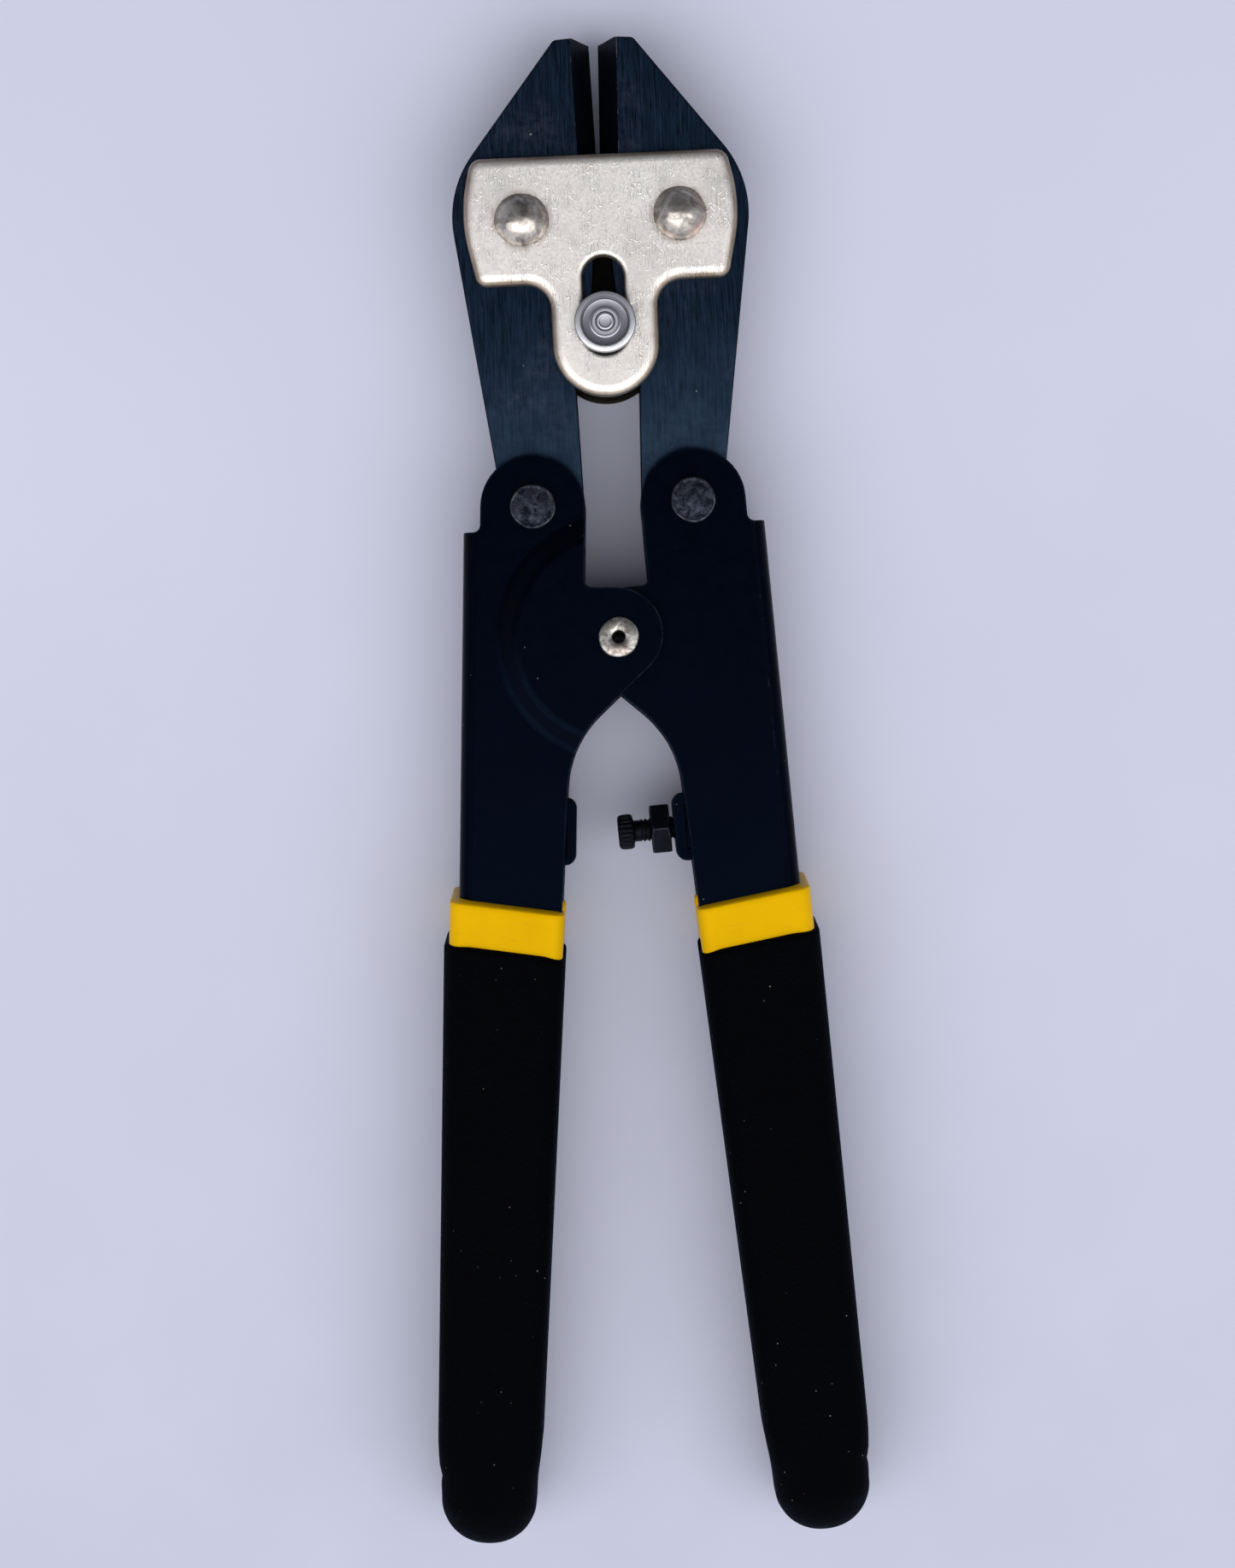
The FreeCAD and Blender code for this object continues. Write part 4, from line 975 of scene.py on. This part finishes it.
def stop_screw(material):
    """A cap screw: a head with splines round it and a socket, then a plain neck and a thread.

    The head's radius is a rounded square wave of the angle; the thread's is a rounded saw of
    the distance along the axis minus the turn, so its crests climb one pitch a turn.
    """
    splines, spline_deep, head_round, head_long = 22, 0.26 * MM, 2.31 * MM, 2.2 * MM
    shank, pitch, depth = 1.62 * MM, 0.6 * MM, 0.24 * MM
    socket, socket_deep = 1.15 * MM, 1.3 * MM
    face, tip = RIGHT_SCREW_HIGH[0], RIGHT_SCREW_LOW[0]
    under, neck_end = face - head_long, face - head_long - 0.7 * MM
    angle = np.linspace(0, 2 * math.pi, 12 * splines, endpoint=False)
    ridge = np.tanh(2.2 * np.cos(splines * angle)) * 0.5 + 0.5
    stations = [
        (face - socket_deep, 0),
        (face - socket_deep, hexagon(0.98 * socket, angle)),
        (face - 0.12 * MM, hexagon(socket, angle)),
        (face, hexagon(socket, angle) + 0.1 * MM),
        (face, 1.95 * MM),
        (face - 0.08 * MM, 2.18 * MM),
    ]
    for step in np.linspace(0, 1, 7):
        cut = spline_deep * ease(step, 0, 0.25) * ease(1 - step, 0, 0.2)
        stations.append((face - 0.2 * MM - (head_long - 0.35 * MM) * step, head_round + cut * (ridge - 0.4)))
    stations += [(under + 0.03 * MM, 2.2 * MM), (under, shank + 0.2 * MM),
                 (under - 0.12 * MM, shank - depth / 2)]
    for reach in np.arange(neck_end, tip + 0.3 * MM, -pitch / 10):
        turn = (reach / pitch + angle / (2 * math.pi)) % 1.0
        crest = np.clip(np.abs(turn - 0.5) * 2.6 - 0.15, 0, 1) - 0.5
        grown = ease(neck_end - reach, 0, pitch)
        stations.append((reach, shank - depth / 2 + depth * crest * grown))
    stations += [(tip, shank - 0.5 * MM), (tip, 0)]
    rings = [along_screw(radius + 0 * angle, angle, reach) for reach, radius in stations]
    faces = grid_faces(len(rings), len(angle))
    return tidy_normals(make_piece("stop_screw_threaded", np.array(rings), faces, material))


def lock_nut(material):
    """A hexagon nut: the smaller of a hexagon and a chamfer cone at each end, with a bore."""
    angle = np.linspace(0, 2 * math.pi, 144, endpoint=False)
    half = (NUT_HIGH[1] - NUT_LOW[1]) / 2
    thick = NUT_HIGH[0] - NUT_LOW[0]
    bore, sharp = 1.66 * MM, math.radians(40)
    stations = []
    for share in (0, 0.02, 0.05, 0.09, 0.13, 0.2, 0.5, 0.8, 0.87, 0.91, 0.95, 0.98, 1):
        cone = half * 0.955 + min(share, 1 - share) * thick * 2.3
        stations.append((share, np.minimum(hexagon(half, angle), cone)))
    stations += [(1, bore + 0.35 * MM), (0.9, bore), (0.1, bore), (0, bore + 0.35 * MM), stations[0]]
    rings = [along_screw(radius + 0 * angle, angle, NUT_LOW[0] + share * thick) for share, radius in stations]
    faces = grid_faces(len(rings), len(angle))
    piece = tidy_normals(make_piece("lock_nut_chamfered", np.array(rings), faces, material))
    piece.data.set_sharp_from_angle(angle=sharp)
    return round_edges(piece, 0.12 * MM, 2, sharp)


def soft_block(name, low, high, side, material):
    """A rounded block between two corners given in a handle's own axes.

    Its surface is a superellipsoid: each axis is its half size times the sine or cosine of the
    two angles, raised to a small power and keeping their signs.
    """
    rows, columns, power = 24, 48, 0.18
    rise, turn = np.meshgrid(np.linspace(-math.pi / 2, math.pi / 2, rows),
                             np.linspace(0, 2 * math.pi, columns, endpoint=False), indexing="ij")

    def soft(wave):
        return np.sign(wave) * np.abs(wave) ** power

    shape = np.stack([soft(np.cos(rise)) * soft(np.cos(turn)),
                      soft(np.cos(rise)) * soft(np.sin(turn)), soft(np.sin(rise))], axis=-1)
    points = handle_to_frame((high + low) / 2 + (high - low) / 2 * shape, side)
    return tidy_normals(make_piece(name, points, grid_faces(rows, columns), material), MERGE)


# ---------------------------------------------------------------- the tool, put together

OXIDE, NICKEL, TURNED, PAINT = oxide_steel(), nickel(), turned_steel(), black_paint()
WORN_NICKEL = worn_nickel("worn_nickel", (0.17, 0.15, 0.135), (0.56, 0.52, 0.475), 420)
TARNISHED = worn_nickel("tarnished_nickel", (0.085, 0.08, 0.075), (0.50, 0.48, 0.45), 760)
WORN_OXIDE, YELLOW, BLACK = worn_oxide(), yellow_vinyl(), black_vinyl()
SCREW, NUT = screw_steel("black_screw_steel", 0.16 * MM), screw_steel("black_nut_steel", 0.36 * MM)

FINISHES = {
    "black_oxide_steel": OXIDE, "nickel_plate": NICKEL, "worn_nickel": WORN_NICKEL,
    "turned_steel": TURNED, "black_paint": PAINT, "worn_oxide_rivet": WORN_OXIDE,
    "black_screw_steel": SCREW, "yellow_vinyl": YELLOW, "black_vinyl": BLACK,
}
for node, slot in SLOT_OF.items():
    dress(node, FINISHES[slot])

# Handles, stop tabs and jaws keep the frame's shapes, with rounded edges.
for word, side in SIDES:
    softened_copy(f"handle_{word}", 0.3 * MM, PAINT, stepped=True)
for word in ("pad", "bracket"):
    softened_copy(f"stop_{word}", 0.35 * MM, PAINT)
for word, side in SIDES:
    softened_copy(f"jaw_{word}", 0.16 * MM, OXIDE, segments=2)

# The face plates: a wide head over a tongue, with a slot for the guide pin. Each corner of the
# outline is a place from the middle between the jaw rivets, and a radius, in millimetres.
HEAD = np.array([0, JAW_RIVET[1], PIVOT[2]])
SPAN = abs(JAW_RIVET[0]) / MM
PLATE_CORNERS = (
    ((-7.4, -8.95), 3.5), ((-7.4, -24.9), 7.4), ((7.4, -24.9), 7.4), ((7.4, -8.95), 3.5),
    ((SPAN + 6.45, -8.95), 1.7), ((SPAN + 8.6, 1), 22), ((SPAN + 6.75, 8.85), 1.9),
    ((-SPAN - 6.75, 8.85), 1.9), ((-SPAN - 8.6, 1), 22), ((-SPAN - 6.45, -8.95), 1.7),
)
OUTLINE = rounded_outline([np.array(corner) * MM for corner, _ in PLATE_CORNERS],
                          [radius * MM for _, radius in PLATE_CORNERS])
SLOT_SIDE = 2.9 * MM
front = mesh_points("front_plate") - HEAD
inner = front[(np.abs(front[:, 0]) < 2.95 * MM) & (front[:, 1] > -22.5 * MM) & (front[:, 1] < 0)]
SLOT_LOW, SLOT_HIGH = inner[:, 1].min(), inner[:, 1].max()
# The rear slot ends lower than the front one, so that through the front slot one sees the rear plate's inner
# face, painted black as shade, instead of the floor.
REAR_SLOT_HIGH = -10.95 * MM
FACE, BACK = PLATE_FACE / MM, PLATE_BACK / MM
OUTER_RIM = [(0.3, BACK), (0.06, BACK + 0.05), (0, BACK + 0.25), *quarter(1.6, 0.95, FACE, 14)]
SLOT_RIM = [(0.1, BACK), (0, BACK + 0.1), *quarter(0.75, 0.7, FACE, 9)]
for word, flip, high in (("front", 1, SLOT_HIGH), ("rear", -1, REAR_SLOT_HIGH)):
    corners = [(-SLOT_SIDE, SLOT_LOW), (SLOT_SIDE, SLOT_LOW), (SLOT_SIDE, high), (-SLOT_SIDE, high)]
    slot = rounded_outline(corners, [SLOT_SIDE * 0.999] * 4)
    plate = pressed_sheet(f"{word}_plate_pressed", OUTLINE, slot, OUTER_RIM, SLOT_RIM, HEAD, flip, NICKEL)
    stands_for(plate, f"{word}_plate")

# The rivets and the guide pin's caps are turned from profiles of (radius, height over the
# middle plane) in millimetres. A jaw rivet's dome is a cap of a ball.
DOME_RISE = 2.5
DOME_WIDE = DOME_REACH / MM
BALL = (DOME_WIDE ** 2 + DOME_RISE ** 2) / (2 * DOME_RISE)
sweep = np.linspace(math.asin(0.985 * DOME_WIDE / BALL), 0, 22)
DOME = [(2.5, 0), (2.5, FACE), (3.5, FACE), (3.72, FACE + 0.1)] + [
    (BALL * math.sin(t), FACE + DOME_RISE - BALL * (1 - math.cos(t))) for t in sweep]
HANDLE_HEAD = [(2.2, 0), (2.2, 5.7), (3.05, 5.7), (3.15, 5.85), (3.17, 6.1), (3.12, 6.35),
               (3.0, 6.48), (2.86, 6.5), (2.7, 6.46), (2.5, 6.47), (1.8, 6.53), (1.0, 6.57),
               (0.4, 6.6), (0, 6.6)]
HAMMERED = 0.03 * MM
for word, side in SIDES:
    for name, profile, place, material, crisp in (
        ("jaw_rivet_{}_domed", DOME, JAW_RIVET, WORN_NICKEL, ROUND),
        ("handle_rivet_{}_hammered", HANDLE_HEAD, EAR_RIVET, WORN_OXIDE, 40),
    ):
        centre = (-side * abs(place[0]), place[1], PIVOT[2])
        rivet = lathe(name.format(word), both_ends(profile), centre, material, HAMMERED, crisp=crisp)
        stands_for(rivet, name.format(word).rsplit("_", 1)[0])

# The tubular pivot rivet is rolled over at both ends.
TUBE_END = [(1.9, 0), (1.9, 7.42), (2.72, 7.42), (2.8, 7.55), (2.8, 7.85), (2.72, 8.04), (2.5, 8.14),
            (2.1, 8.2), (1.6, 8.22), (1.2, 8.2), (1.0, 8.14), (0.88, 7.98), (0.82, 7.6), (0.8, 0)]
stands_for(lathe("pivot_rivet_rolled", both_ends(TUBE_END), PIVOT, TARNISHED, HAMMERED), "pivot_rivet")

CAP_BASE = FACE + 0.05
CAP = [(0, 0), (4.1, 0), (4.25, 0.12), (4.25, 1.32), (4.18, 1.48), (4.02, 1.55), (3.38, 1.55),
       (3.12, 1.12), (2.9, 1.05), (2.2, 1.05), (2.05, 1.12), (1.75, 1.5), (1.38, 1.5),
       (1.3, 1.25), (1.2, 1.25), (1.16, 1.5), (1.08, 1.6), (0.95, 1.62), (0.8, 1.56),
       (0.7, 1.54), (0, 1.55)]
for word, flip in (("front", 1), ("rear", -1)):
    profile = (np.array(CAP) + [0, CAP_BASE]) * MM * [1, flip]
    centre = (GUIDE[0], GUIDE[1], PIVOT[2])
    cap = lathe(f"guide_cap_{word}_turned", profile, centre, TURNED, turns=160, crisp=24)
    stands_for(cap, f"guide_cap_{word}")

for word, side in SIDES:
    grip_start = BAND_START - BAND_LONG
    band = dipped_coat(f"band_{word}_coat", side, BAND_START, grip_start - BAND_UNDER, rim=0.6 * MM,
                       back=1.25 * MM, face=1.7 * MM, lip=0.35 * MM, corner=1.9 * MM, material=YELLOW)
    stands_for(band, f"band_{word}")
    grip = dipped_coat(f"grip_{word}_coat", side, grip_start, GRIP_END, rim=1.0 * MM,
                       back=2.0 * MM, face=2.65 * MM, lip=0.7 * MM, corner=3.5 * MM, material=BLACK,
                       closed=True)
    stands_for(grip, f"grip_{word}")

# The pressed tabs that carry the stop are closed behind their faces.
BLOCK_HALF = 3.6 * MM
BLOCK_NEAR, BLOCK_FAR = 0.9 * MM, 5.0 * MM
for word, side, face in (("pad", LEFT, -5.6 * MM), ("bracket", RIGHT, -5.1 * MM)):
    low = np.array([face - BLOCK_FAR, STOP_Y - BLOCK_HALF, -BLOCK_HALF])
    high = np.array([face - BLOCK_NEAR, STOP_Y + BLOCK_HALF, BLOCK_HALF])
    ride_with(soft_block(f"stop_{word}_web", low, high, side, PAINT), f"stop_{word}")

stands_for(stop_screw(SCREW), "stop_screw")
stands_for(lock_nut(NUT), "lock_nut")

add_camera()
add_world()
add_floor(floor_paper())
add_softbox("strip", (0.0, -0.42, 0.85), (2.4, 0.9), 15.8, (1.0, 0.985, 0.97))
bpy.context.scene.view_settings.view_transform = "Standard"
